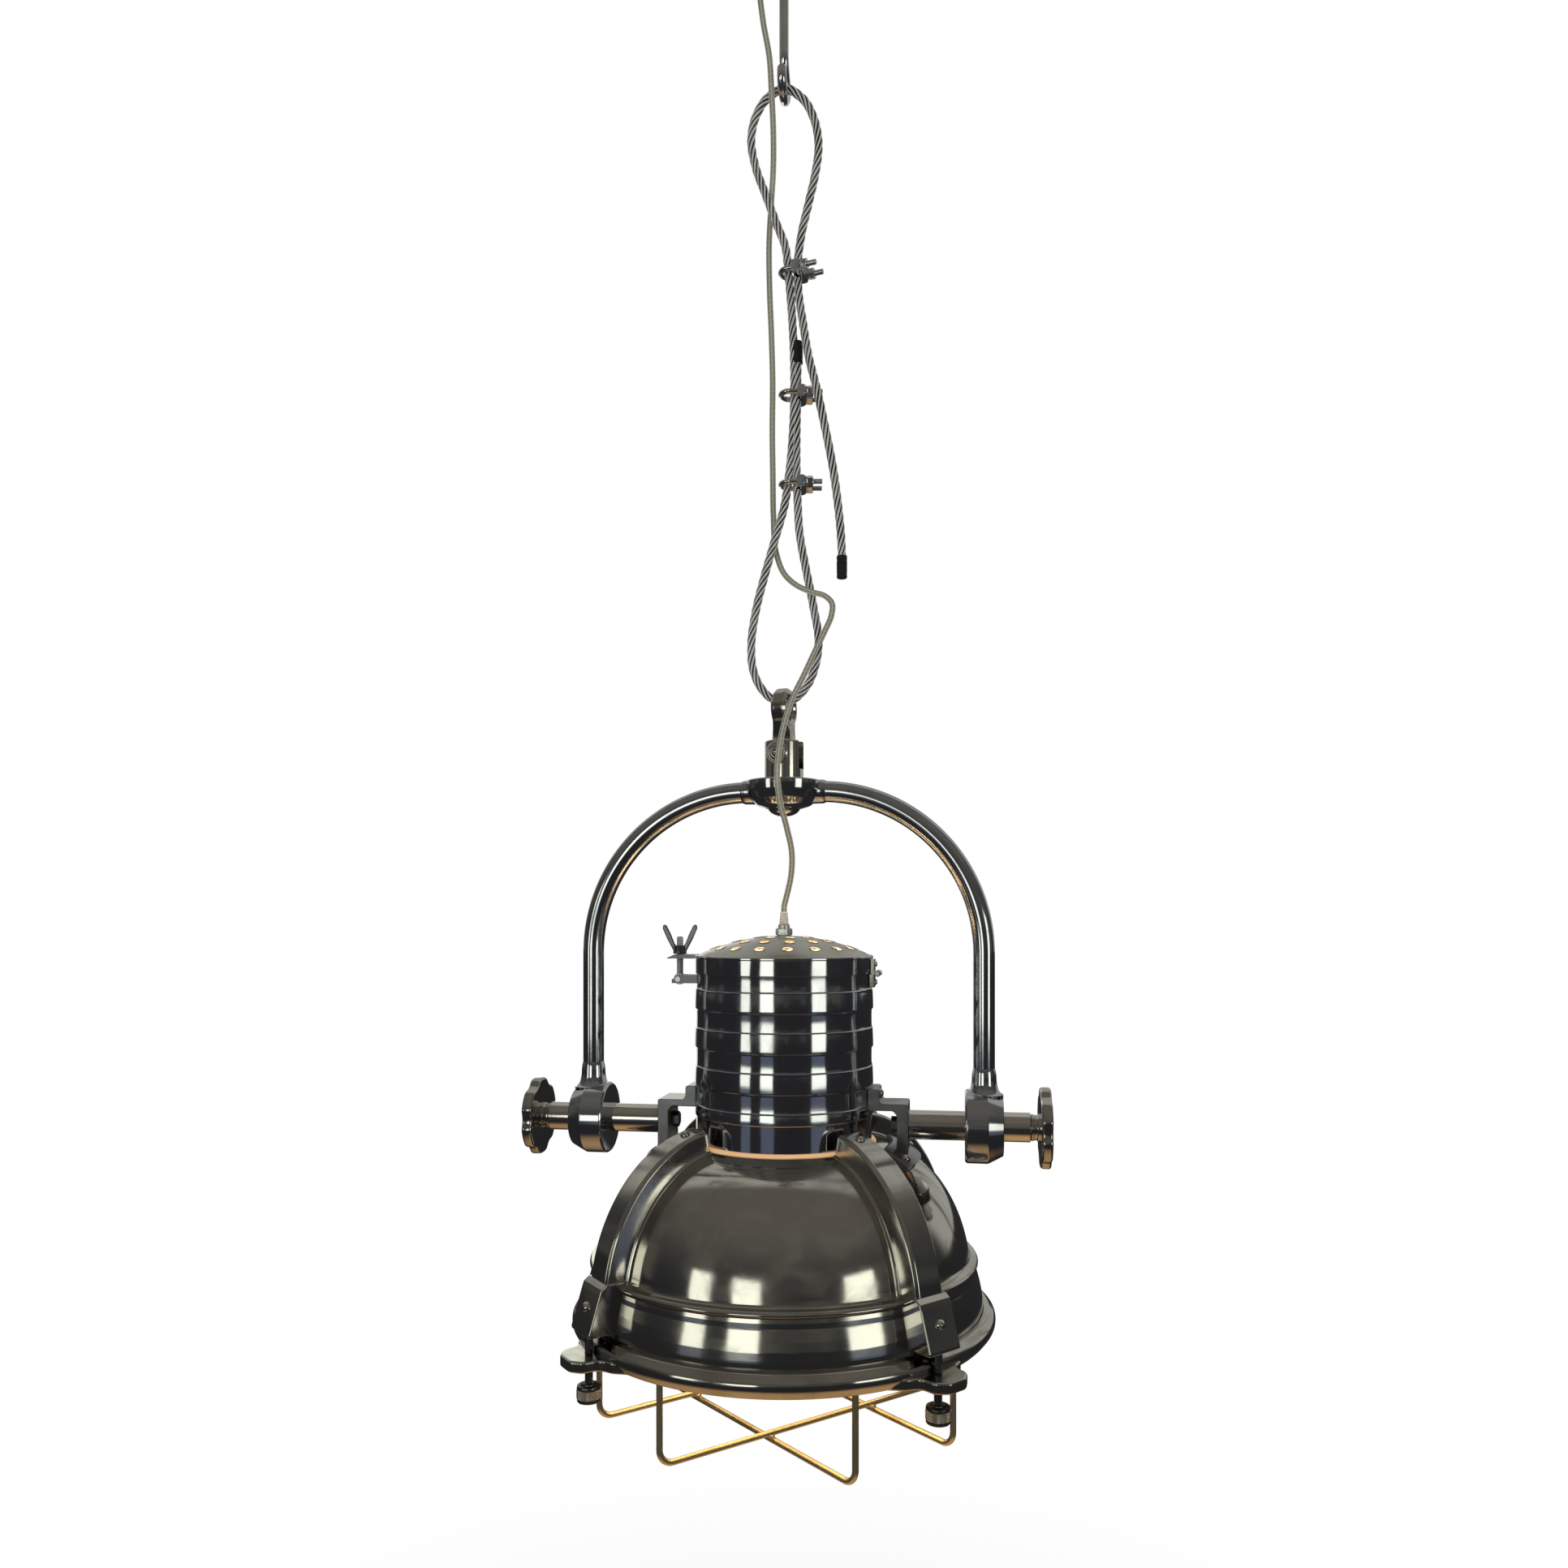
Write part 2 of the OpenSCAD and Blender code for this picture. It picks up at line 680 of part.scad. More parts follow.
module swivel_nut() {
    color(steel) turned()
        translate([0, 0, bow_top_z - boss_floor_h - face_gap - stud_nut_h]) difference() {
            hex(stud_nut_af, stud_nut_h);
            translate([0, 0, -1]) cylinder(d = stud_d + 2 * run_fit, h = stud_nut_h + 2, $fn = 64);
        }
}

// Bow

module bow_side() {
    translate([bow_leg_x - bow_bend_r, 0, bow_side_z]) rotate([90, 0, 0])
        rotate_extrude(angle = 90 + bow_over, $fn = 192)
            translate([bow_bend_r, 0]) circle(d = bow_bar_d, $fn = 48);
    translate([bow_leg_x, 0, hub_d / 2 - 12])
        cylinder(d = bow_bar_d + 0.2, h = bow_side_z - hub_d / 2 + 12, $fn = 48);
    translate([bow_leg_x, 0, hub_d / 2 - 6])
        cylinder(d1 = bow_bar_d + 8, d2 = bow_bar_d - 1, h = 10, $fn = 48);
    translate([hub_x, 0, 0]) rotate([0, 90, 0]) rotate_extrude($fn = 96)
        polygon([[0, 0], [hub_d / 2 - 2, 0], [hub_d / 2, 2], [hub_d / 2, hub_l - 14],
            [hub_d / 2 - 3, hub_l - 9], [hub_d / 2 - 8, hub_l], [0, hub_l]]);
}

module bow() {
    r = boss_d / 2;
    bore_r = stud_d / 2 + run_fit;
    color(nickel) lamp() difference() {
        union() {
            bow_side();
            mirror([1, 0, 0]) bow_side();
            translate([0, 0, bow_top_z - boss_h]) rotate_extrude($fn = 96)
                polygon([[0, 0], [boss_cap_d / 2 + 0.5, 0], [r - 15, 4], [r - 5, 12],
                    [r - 1, 17], [r, 20], [r, boss_h - 1 + boss_step],
                    [r - 1, boss_h + boss_step], [0, boss_h + boss_step]]);
        }
        translate([0, 0, bow_top_z - boss_h - 1])
            cylinder(r = bore_r, h = boss_h + 2, $fn = 64);
        translate([0, 0, bow_top_z - boss_h - 1])
            cylinder(d = boss_bore_d, h = boss_h - boss_floor_h + 1, $fn = 64);
        for (x = [-bow_leg_x - hub_l, bow_leg_x - hub_l]) translate([x, 0, 0])
            rotate([0, 90, 0]) cylinder(d = trunnion_d + 2 * run_fit, h = 2 * hub_l, $fn = 96);
    }
}

module boss_cap() {
    r = boss_cap_d / 2;
    h = boss_cap_h;
    color(nickel) lamp() translate([0, 0, bow_top_z - boss_h - h]) union() {
        rotate_extrude($fn = 96)
            polygon([[0, 0], [r * 0.5, h * 0.12], [r * 0.8, h * 0.4], [r, h * 0.85],
                [r, h], [0, h]]);
        translate([0, 0, h - 0.5]) difference() {
            cylinder(d = boss_bore_d - 2 * hole_gap, h = cap_spigot_h + 0.5, $fn = 64);
            translate([0, 0, 0.5]) cylinder(d = boss_bore_d - 4, h = cap_spigot_h + 1, $fn = 64);
        }
    }
}

// Trunnions and knobs

module trunnion() {
    color(nickel) difference() {
        translate([trunnion_x, 0, 0]) rotate([0, 90, 0]) rotate_extrude($fn = 96)
            polygon([[0, 0], [trunnion_d / 2, 0],
                [trunnion_d / 2, trunnion_end_x - trunnion_x - 1],
                [trunnion_d / 2 - 1, trunnion_end_x - trunnion_x],
                [0, trunnion_end_x - trunnion_x]]);
        translate([trunnion_x - 1, 0, 0]) rotate([0, 90, 0])
            cylinder(d = trunnion_bolt_d + 2 * run_fit, h = trunnion_bolt_l + 2, $fn = 48);
        translate([trunnion_end_x - knob_stud_l - 2, 0, 0]) rotate([0, 90, 0])
            cylinder(d = knob_stud_d + 2 * run_fit, h = knob_stud_l + 4, $fn = 48);
    }
}

module trunnion_left() {
    lamp() mirror([1, 0, 0]) trunnion();
}

module trunnion_right() {
    lamp() trunnion();
}

module trunnion_bolts() {
    color(steel) lamp() for (m = [0, 1]) mirror([m, 0, 0])
        translate([trunnion_x - web_t, 0, 0]) rotate([0, 90, 0]) {
            cylinder(d = trunnion_bolt_d, h = web_t + trunnion_bolt_l, $fn = 48);
            translate([0, 0, -6]) hex(trunnion_bolt_d + 5, 6);
        }
}

module knob() {
    r = knob_d / 2;
    cut_r = r * 0.42;
    color(nickel) union() {
        translate([knob_x, 0, 0]) rotate([0, 90, 0]) difference() {
            rotate_extrude($fn = 96) polygon([[0, 0], [r - 3, 0], [r, 3], [r, knob_t - 3],
                [r - 3, knob_t], [spacer_d / 2, knob_t + 1], [0, knob_t + 1]]);
            for (i = [0:knob_lobes - 1]) rotate([0, 0, 360 * (i + 0.5) / knob_lobes])
                translate([r + cut_r - 3.5, 0, -1]) cylinder(r = cut_r, h = knob_t + 3, $fn = 64);
        }
        translate([knob_x - spacer_l, 0, 0]) rotate([0, 90, 0])
            cylinder(d = spacer_d, h = spacer_l + 1, $fn = 64);
        translate([trunnion_end_x - knob_stud_l, 0, 0]) rotate([0, 90, 0])
            cylinder(d = knob_stud_d, h = knob_x - trunnion_end_x + knob_stud_l + 1, $fn = 48);
    }
}

module knob_left() {
    lamp() mirror([1, 0, 0]) knob();
}

module knob_right() {
    lamp() knob();
}

// Outlines shared by the castings

module chimney_outer() {
    r = chimney_d / 2;
    bead_pts = [for (i = [0:3]) let (z = bead_top_z - i * bead_step,
        low = i < 3 ? z - bead_h : z - bead_h * 0.55)
        each [[r, z + 1.5], [r + bead_out, z], [r + bead_out, low], [r, low - 1.5]]];
    rotate_extrude($fn = 192) polygon(concat([[0, chimney_top_z], [r, chimney_top_z]],
        bead_pts, [[r, chimney_foot_z], [0, chimney_foot_z]]));
}

module bell_outer() {
    rotate_extrude($fn = 256) polygon(concat([for (t = bell_steps) bell_p(t)],
        [[bell_bead_r, bead_z - 4], [bell_bead_r, bell_bead_z], [bell_bead_r + 2, bell_bead_z],
            [bell_foot_r, ring_top_z + 6], [bell_foot_r, bell_foot_z], [0, bell_foot_z],
            [0, bell_p(crown_t)[1]]]));
}

// Brackets

module tab_screw_at() {
    translate([chimney_d / 2 + tab_t, 0, tab_screw_z]) rotate([0, 90, 0]) children();
}

module foot_screws_at() {
    p = bell_off(foot_screw_at, foot_t);
    n = bell_n(foot_screw_at);
    for (s = [-1, 1]) rotate([0, 0, s * foot_screw_turn]) translate([p[0], 0, p[1]])
        rotate([0, atan2(n[0], n[1]), 0]) children();
}

module bracket_cuts() {
    tab_screw_at() translate([0, 0, -tab_t - 4])
        cylinder(d = screw_d + 2 * hole_gap, h = tab_t + 5, $fn = 32);
    foot_screws_at() translate([0, 0, -foot_t - 8])
        cylinder(d = screw_d + 2 * hole_gap, h = foot_t + 9, $fn = 32);
}

module bracket() {
    r = chimney_d / 2;
    t = [for (i = [0:8]) 76 - 2 * i];
    color(steel) difference() {
        union() {
            translate([0, bracket_w / 2, 0]) rotate([90, 0, 0]) linear_extrude(bracket_w)
                polygon([[r - 8, flange_top_z - flange_t], [r - 8, tab_top_z - 1],
                    [r + tab_t - 2, tab_top_z], [r + tab_t, tab_top_z - 2],
                    [r + tab_t, flange_top_z + 2], [r + tab_t + 2, flange_top_z],
                    [trunnion_x - 1, flange_top_z], [trunnion_x, flange_top_z - 1],
                    [trunnion_x, web_foot_z - 12], [trunnion_x - web_t, web_foot_z - 12],
                    [trunnion_x - web_t, flange_top_z - flange_t - 4],
                    [trunnion_x - web_t - 3, flange_top_z - flange_t]]);
            rotate([0, 0, -foot_half]) rotate_extrude(angle = 2 * foot_half, $fn = 256)
                polygon(concat([for (a = t) bell_off(a, foot_t)],
                    [for (i = [len(t) - 1:-1:0]) bell_off(t[i], -1)]));
        }
        chimney_outer();
        bell_outer();
        rotate([0, 90, 0])
            cylinder(d = trunnion_bolt_d + 2 * hole_gap, h = trunnion_x + 5, $fn = 48);
        bracket_cuts();
    }
}

module bracket_left() {
    lamp() mirror([1, 0, 0]) bracket();
}

module bracket_right() {
    lamp() bracket();
}

module bracket_screws() {
    color(nickel) lamp() for (m = [0, 1]) mirror([m, 0, 0]) {
        tab_screw_at() screw(screw_head_d, screw_head_h, screw_d, tab_t + 3);
        foot_screws_at() screw(screw_head_d, screw_head_h, screw_d, foot_t + 5);
    }
}

// Chimney, bell and ribs

module chimney() {
    color(nickel) lamp() difference() {
        chimney_outer();
        translate([0, 0, chimney_foot_z - 1])
            cylinder(d = chimney_d - 2 * chimney_wall, h = chimney_top_z - chimney_foot_z + 2, $fn = 192);
        for (m = [0, 1]) mirror([m, 0, 0]) bracket_cuts();
    }
}

module bell() {
    inner = [for (t = bell_steps) bell_off(t, -bell_t)];
    color(nickel) lamp() difference() {
        rotate_extrude($fn = 256) polygon(concat([for (t = bell_steps) bell_p(t)],
            [[bell_bead_r, bead_z - 4], [bell_bead_r, bell_bead_z],
                [bell_bead_r + 2, bell_bead_z], [bell_foot_r, ring_top_z + 6],
                [bell_foot_r, bell_foot_z], [lip_r, bell_foot_z],
                [lip_r, bell_foot_z + bell_t], [bell_foot_r - bell_t, bell_foot_z + bell_t],
                [bell_foot_r - bell_t, ring_top_z + 6],
                [bell_bead_r - 1, bell_bead_z - bell_t],
                [bell_bead_r - bell_t, bell_bead_z - bell_t], [bell_bead_r - bell_t, bead_z - 5]],
            [for (i = [len(inner) - 1:-1:0]) inner[i]]));
        for (m = [0, 1]) mirror([m, 0, 0]) bracket_cuts();
        ribs_at() rib_cuts();
    }
}

module ribs_at() {
    for (a = rib_turns) rotate([0, 0, a]) children();
}

module rib_cuts() {
    p = bell_off(76, rib_h);
    n = bell_n(76);
    translate([p[0], 0, p[1]]) rotate([0, atan2(n[0], n[1]), 0])
        translate([0, 0, -rib_h - 5]) cylinder(d = screw_d + 2 * hole_gap, h = rib_h + 6, $fn = 32);
}

module rib_profile(h, inset) {
    start = crown_t - inset / 2;
    low = inset > 0 ? bead_z + 8 : rib_foot_z;
    foot = inset > 0 ? [] : [[rib_foot_r - rib_lean - 1.5, rib_shoulder + 4],
        [rib_foot_r - rib_lean, rib_shoulder], [rib_foot_r, low]];
    polygon(concat([[bell_p(crown_t)[0] + inset, -60]],
        [for (i = [0:12]) bell_off(start + (14 - start) * i / 12, h - inset)],
        foot, [[bell_bead_r - 10, low], [bell_bead_r - 40, -100]]));
}

// The screw on the rib's leaning foot
module foot_screw_on() {
    up = 22;
    rise = rib_shoulder - rib_foot_z;
    translate([rib_foot_r - rib_lean * up / rise, 0, rib_foot_z + up])
        rotate([0, 90 - atan(rib_lean / rise), 0]) children();
}

module rib() {
    color(nickel) difference() {
        translate([0, rib_w / 2, 0]) rotate([90, 0, 0]) linear_extrude(rib_w)
            rib_profile(rib_h, 0);
        translate([0, rib_turn_w / 2, 0]) rotate([90, 0, 0]) linear_extrude(rib_turn_w)
            rib_profile(rib_h, rib_wall);
        bell_outer();
        rib_cuts();
        foot_screw_on() translate([0, 0, -9])
            cylinder(d = screw_d + 2 * run_fit, h = 10, $fn = 32);
        translate([thumb_r, 0, rib_foot_z - 1])
            cylinder(d = thumb_shank_d + 2 * run_fit, h = thumb_grip + 1, $fn = 48);
    }
}

module rib_front_left() {
    lamp() rotate([0, 0, rib_turns[0]]) rib();
}

module rib_front_right() {
    lamp() rotate([0, 0, rib_turns[1]]) rib();
}

module rib_rear_left() {
    lamp() rotate([0, 0, rib_turns[2]]) rib();
}

module rib_rear_right() {
    lamp() rotate([0, 0, rib_turns[3]]) rib();
}

module rib_screws() {
    p = bell_off(76, rib_h);
    n = bell_n(76);
    color(steel) lamp() ribs_at() {
        foot_screw_on() screw(screw_head_d, screw_head_h, screw_d, 8);
        translate([p[0], 0, p[1]]) rotate([0, atan2(n[0], n[1]), 0])
            screw(screw_head_d, screw_head_h, screw_d, rib_h + bell_t + 1);
    }
}

// Guard ring, lens and guard

module ear_plan() {
    translate([ring_d / 2 - 8, -ear_w / 2]) square([thumb_r - ring_d / 2 + 8, ear_w]);
    intersection() {
        translate([thumb_r - 1, -ear_w / 2]) square([ear_r - thumb_r + 1, ear_w]);
        translate([ear_r - 26, 0]) circle(r = 26, $fn = 96);
    }
}

module guard_ring() {
    r = ring_d / 2;
    color(nickel) lamp() difference() {
        union() {
            rotate_extrude($fn = 256) polygon([[ring_hole_d / 2, ring_foot_z],
                [r - 1.5, ring_foot_z], [r, ring_foot_z + 1.5], [r, ring_top_z - 1.5],
                [r - 1.5, ring_top_z], [bell_foot_r + hole_gap, ring_top_z],
                [bell_foot_r + hole_gap, flange_z], [ring_hole_d / 2, flange_z]]);
            ribs_at() translate([0, 0, ear_z]) linear_extrude(ear_t) ear_plan();
        }
        ribs_at() translate([thumb_r, 0, ear_z - 1])
            cylinder(d = thumb_shank_d + 2 * face_gap, h = ear_t + 2, $fn = 48);
    }
}

module lens_gaskets() {
    color("black") lamp() for (z = [flange_z, lens_z + lens_t]) translate([0, 0, z])
        difference() {
            cylinder(r = lens_d / 2 + 2, h = gasket_t, $fn = 192);
            translate([0, 0, -1]) cylinder(r = lip_r + 1, h = gasket_t + 2, $fn = 192);
        }
}

module glass_lens() {
    color("azure", 0.5) lamp() translate([0, 0, lens_z])
        cylinder(d = lens_d, h = lens_t, $fn = 192);
}

module guard_bar(z) {
    x = guard_leg_x;
    b = guard_bend_r;
    for (m = [0, 1]) mirror([m, 0, 0]) {
        translate([x, 0, z + b]) cylinder(d = guard_rod_d, h = ring_foot_z - z - b + 0.5, $fn = 32);
        translate([x - b, 0, z + b]) rotate([90, 0, 0]) rotate([0, 0, -90])
            rotate_extrude(angle = 90, $fn = 64) translate([b, 0]) circle(d = guard_rod_d, $fn = 32);
    }
    translate([-x + b, 0, z]) rotate([0, 90, 0]) cylinder(d = guard_rod_d, h = 2 * (x - b), $fn = 32);
}

module wire_guard() {
    color(steel) lamp() difference() {
        for (k = [0, 1]) rotate([0, 0, rib_turns[1 - k]]) for (s = [-1, 1])
            translate([0, s * guard_off, 0]) guard_bar(guard_low_z + k * guard_lift);
        translate([0, 0, ring_foot_z]) cylinder(d = ring_d, h = 10, $fn = 96);
    }
}

module thumbscrew() {
    head_z = ear_z - thumb_neck - thumb_head_h;
    r = thumb_head_d / 2;
    color(nickel) union() {
        translate([0, 0, head_z + thumb_head_h - 1])
            cylinder(d = thumb_shank_d, h = thumb_top_z - head_z - thumb_head_h + 1, $fn = 48);
        translate([0, 0, ear_z - face_gap - thumb_collar_h])
            cylinder(d = thumb_shank_d + 6, h = thumb_collar_h, $fn = 48);
        translate([0, 0, head_z]) rotate_extrude($fn = 64) polygon([[0, 0], [r - 1.5, 0],
            [r, 1.5], [r, thumb_head_h - 2.5], [r - 1.5, thumb_head_h - 1], [r - 4, thumb_head_h - 1],
            [r - 4.6, thumb_head_h - 2], [r - 5.6, thumb_head_h - 2], [r - 6.2, thumb_head_h],
            [0, thumb_head_h]]);
    }
}

module thumbscrew_front_left() {
    lamp() rotate([0, 0, rib_turns[0]]) translate([thumb_r, 0, 0]) thumbscrew();
}

module thumbscrew_front_right() {
    lamp() rotate([0, 0, rib_turns[1]]) translate([thumb_r, 0, 0]) thumbscrew();
}

module thumbscrew_rear_left() {
    lamp() rotate([0, 0, rib_turns[2]]) translate([thumb_r, 0, 0]) thumbscrew();
}

module thumbscrew_rear_right() {
    lamp() rotate([0, 0, rib_turns[3]]) translate([thumb_r, 0, 0]) thumbscrew();
}

// Light

module reflector() {
    t = reflector_t;
    low = bell_foot_z + bell_t;
    hole = reflector_hole_d / 2;
    z = -58;
    color("white") lamp() rotate_extrude($fn = 192) polygon([[hole, z], [hole + 35, z - 14],
        [lip_r - 45, z - 45], [lip_r - 15, z - 80], [lip_r + 1, low + 4], [lip_r + 2, low + t],
        [lip_r + 12, low + t], [lip_r + 12, low], [lip_r + 1, low], [lip_r - 0.5, low + 3],
        [lip_r - 16, z - 80 - t], [lip_r - 45.8, z - 45 - t], [hole + 34.4, z - 14 - 1.2 * t],
        [hole, z - 1.2 * t]]);
}

module lampholder_bracket() {
    r = chimney_d / 2 - chimney_wall;
    color(steel) lamp() difference() {
        intersection() {
            union() {
                translate([-r, -strap_w / 2, strap_z]) cube([2 * r, strap_w, strap_t]);
                for (x = [-r, r - 4]) translate([x, -strap_w / 2, strap_z]) cube([4, strap_w, 22]);
            }
            translate([0, 0, strap_z - 1]) cylinder(r = r, h = 40, $fn = 192);
        }
        for (m = [0, 1]) mirror([m, 0, 0]) bracket_cuts();
        translate([0, 0, strap_z - 1]) cylinder(d = lead_d + 2 * hole_gap, h = strap_t + 2, $fn = 32);
    }
}

module lampholder() {
    r = holder_d / 2;
    color("white") lamp() translate([0, 0, holder_z]) difference() {
        rotate_extrude($fn = 96) polygon([[0, 0], [r - 2, 0], [r, 2], [r, holder_l - 16],
            [r - 4, holder_l - 12], [r - 4, holder_l], [0, holder_l]]);
        translate([0, 0, -1]) cylinder(d = 28, h = 31, $fn = 64);
        translate([0, 0, 29]) cylinder(d = lead_d + 2 * hole_gap, h = holder_l, $fn = 32);
    }
}

module bulb() {
    r = bulb_d / 2;
    color("lightyellow") lamp() translate([0, 0, holder_z]) union() {
        translate([0, 0, 2]) cylinder(d = 27, h = 25, $fn = 64);
        rotate_extrude($fn = 96) polygon(concat([[0, 3], [13, 3], [14, -4], [18, -18],
            [r * 0.75, -32]], [for (a = [20:-10:-90]) [r * cos(a), -60 + r * sin(a)]]));
    }
}

module inner_lead() {
    color("black") lamp() translate([0, 0, holder_z + 28])
        cylinder(d = lead_d, h = lid_top_z - 6 - holder_z - 28, $fn = 32);
}

// Lid, gland, hinge and latch

module lid_outline(o) {
    r = lid_r;
    h = lid_dome_h;
    z = lid_brow_z;
    foot = chimney_top_z - (o > 0 ? 1 : 0);
    brow = r - 2 - o;
    polygon(concat([[0, foot], [r - 1 - o, foot], [r - o, chimney_top_z + 1], [r - o, z - 2],
        [brow, z + 1 - o]], [for (i = [1:8]) let (q = brow * (1 - i / 8))
            [q, z + 1 - o + (h - 1) * (1 - pow(q / brow, 2))]]));
}

module lid_outer() {
    rotate_extrude($fn = 192) lid_outline(0);
}

module lid() {
    color(nickel) lamp() difference() {
        lid_outer();
        rotate_extrude($fn = 192) lid_outline(lid_t);
        for (g = air_rings) for (i = [0:g[0] - 1])
            rotate([0, 0, 360 * (i + 0.5) / g[0]]) translate([g[1], 0, lid_brow_z - 4])
                cylinder(d = air_d, h = lid_dome_h + 10, $fn = 24);
        translate([0, 0, lid_brow_z]) cylinder(d = 10 + 2 * hole_gap, h = 40, $fn = 48);
    }
}

module cord_gland() {
    color(nickel) lamp() translate([0, 0, lid_top_z]) union() {
        translate([0, 0, -6]) cylinder(d = 10, h = 6.2, $fn = 48);
        hex(gland_hex_af, gland_hex_h);
        translate([0, 0, gland_hex_h]) cylinder(d = gland_hex_af - 1, h = 5, $fn = 48);
        translate([0, 0, gland_hex_h + 5])
            cylinder(d1 = gland_hex_af - 2, d2 = cord_w + 1.5, h = gland_h - gland_hex_h - 5, $fn = 48);
    }
}

module leaf(s) {
    y = leaf_w / 2;
    base = lid_r;
    z = chimney_top_z;
    for (k = s > 0 ? [-1, 1] : [0]) {
        translate([hinge_x, k * leaf_w / 3 + leaf_w / 6 - 0.1, z])
            rotate([90, 0, 0]) cylinder(d = knuckle_d, h = leaf_w / 3 - 0.2, $fn = 32);
        translate([base - 1, k * leaf_w / 3 - leaf_w / 6 + 0.1, s > 0 ? z : z - 2])
            cube([hinge_x - base + 1, leaf_w / 3 - 0.2, 2]);
    }
    translate([base - 6, -y, s > 0 ? chimney_top_z + 1 : chimney_top_z - leaf_h])
        cube([6 + leaf_t, leaf_w, leaf_h - 1]);
}

module lid_leaf() {
    color(nickel) lamp() difference() {
        leaf(1);
        lid_outer();
        translate([hinge_x, leaf_w, chimney_top_z]) rotate([90, 0, 0])
            cylinder(d = hinge_pin_d + 2 * run_fit, h = 2 * leaf_w, $fn = 32);
    }
}

module body_leaf() {
    color(nickel) lamp() difference() {
        leaf(-1);
        chimney_outer();
        translate([0, 0, chimney_top_z]) cylinder(r = lid_r + 0.01, h = 10, $fn = 192);
        translate([hinge_x, leaf_w, chimney_top_z]) rotate([90, 0, 0])
            cylinder(d = hinge_pin_d + 2 * run_fit, h = 2 * leaf_w, $fn = 32);
    }
}

module hinge_pin() {
    color(steel) lamp() translate([hinge_x, leaf_w / 2 + 1.5, chimney_top_z])
        rotate([90, 0, 0]) cylinder(d = hinge_pin_d, h = leaf_w + 3, $fn = 32);
}

module hinge_screws() {
    color(steel) lamp() for (z = [chimney_top_z - leaf_h / 2 - 2, chimney_top_z + leaf_h / 2 + 2])
        for (y = [-6, 6]) translate([lid_r + leaf_t, y, z]) rotate([0, 90, 0])
            dome(leaf_screw_d, 2.4);
}

module latch_fork() {
    w = lug_w / 2;
    s = lug_slot / 2;
    color(nickel) lamp() mirror([1, 0, 0]) difference() {
        translate([0, w, 0]) rotate([90, 0, 0]) linear_extrude(lug_w)
            polygon([[lid_r - 6, fork_z], [fork_end - 1, fork_z], [fork_end, fork_z + 0.6],
                [latch_x + 3, fork_z + fork_t], [lid_r - 6, fork_z + fork_t]]);
        lid_outer();
        translate([latch_x - s, -s, fork_z - 1]) cube([fork_end, 2 * s, fork_t + 2]);
    }
}

module latch_lug() {
    w = lug_w / 2;
    s = lug_slot / 2;
    color(nickel) lamp() mirror([1, 0, 0]) difference() {
        union() {
            translate([chimney_d / 2 - 3, -w, latch_z - lug_h / 2])
                cube([latch_x - chimney_d / 2 + 3, lug_w, lug_h]);
            translate([latch_x, w, latch_z]) rotate([90, 0, 0])
                cylinder(d = lug_h, h = lug_w, $fn = 48);
            translate([latch_x, -w, latch_z - lug_h / 2]) cube([lug_end - latch_x - 1, lug_w, lug_h / 2]);
        }
        chimney_outer();
        translate([latch_x - 7, -s, latch_z - lug_h]) cube([lug_end, 2 * s, 2 * lug_h]);
        translate([latch_x, lug_w, latch_z]) rotate([90, 0, 0])
            cylinder(d = latch_pin_d + 2 * run_fit, h = 2 * lug_w, $fn = 32);
    }
}

module latch_pin() {
    color(steel) lamp() translate([-latch_x, lug_w / 2 + 1, latch_z]) rotate([90, 0, 0])
        cylinder(d = latch_pin_d, h = lug_w + 2, $fn = 32);
}

module swing_bolt() {
    color(nickel) lamp() translate([-latch_x, 0, latch_z]) difference() {
        union() {
            cylinder(d = swing_d, h = swing_l, $fn = 32);
            translate([0, swing_eye_t / 2, 0]) rotate([90, 0, 0])
                cylinder(d = latch_pin_d + 6, h = swing_eye_t, $fn = 48);
        }
        translate([0, swing_d, 0]) rotate([90, 0, 0])
            cylinder(d = latch_pin_d + 2 * run_fit, h = 2 * swing_d, $fn = 32);
    }
}

module wing_nut() {
    b = wing_base_d / 2;
    e = wing_span / 2;
    color(nickel) lamp() translate([-latch_x, 0, nut_z]) difference() {
        union() {
            rotate_extrude($fn = 64) polygon([[0, 0], [b, 0], [b, 2], [b - 1.5, wing_base_h],
                [0, wing_base_h]]);
            for (m = [0, 1]) mirror([m, 0, 0]) translate([0, wing_t / 2, 0]) rotate([90, 0, 0])
                linear_extrude(wing_t) polygon([[3.4, 2.5], [b, 3], [e - 0.5, wing_top_h - 5],
                    [e, wing_top_h - 2], [e - 1.5, wing_top_h], [e - 3.5, wing_top_h - 1],
                    [b - 1, 10], [3.4, wing_base_h]]);
        }
        translate([0, 0, -1]) cylinder(d = swing_d + 2 * run_fit, h = wing_top_h, $fn = 32);
    }
}

ceiling_plate();
ceiling_rose();
ceiling_hook();
hook_nut();
rose_collar();
rose_collar_screw();
rose_cord_grip();
terminal_block();
wire_rope();
rope_end_caps();
clip_saddles();
clip_u_bolts();
clip_nuts();
power_cord();
hanging_eye();
swivel_stem();
eye_bolt();
eye_bolt_nut();
swivel_nut();
bow();
boss_cap();
knob_left();
knob_right();
trunnion_left();
trunnion_right();
trunnion_bolts();
bracket_left();
bracket_right();
bracket_screws();
chimney();
bell();
rib_front_left();
rib_front_right();
rib_rear_left();
rib_rear_right();
rib_screws();
guard_ring();
lens_gaskets();
glass_lens();
wire_guard();
thumbscrew_front_left();
thumbscrew_front_right();
thumbscrew_rear_left();
thumbscrew_rear_right();
reflector();
lampholder_bracket();
lampholder();
bulb();
inner_lead();
lid();
cord_gland();
lid_leaf();
body_leaf();
hinge_pin();
hinge_screws();
latch_fork();
latch_lug();
latch_pin();
swing_bolt();
wing_nut();
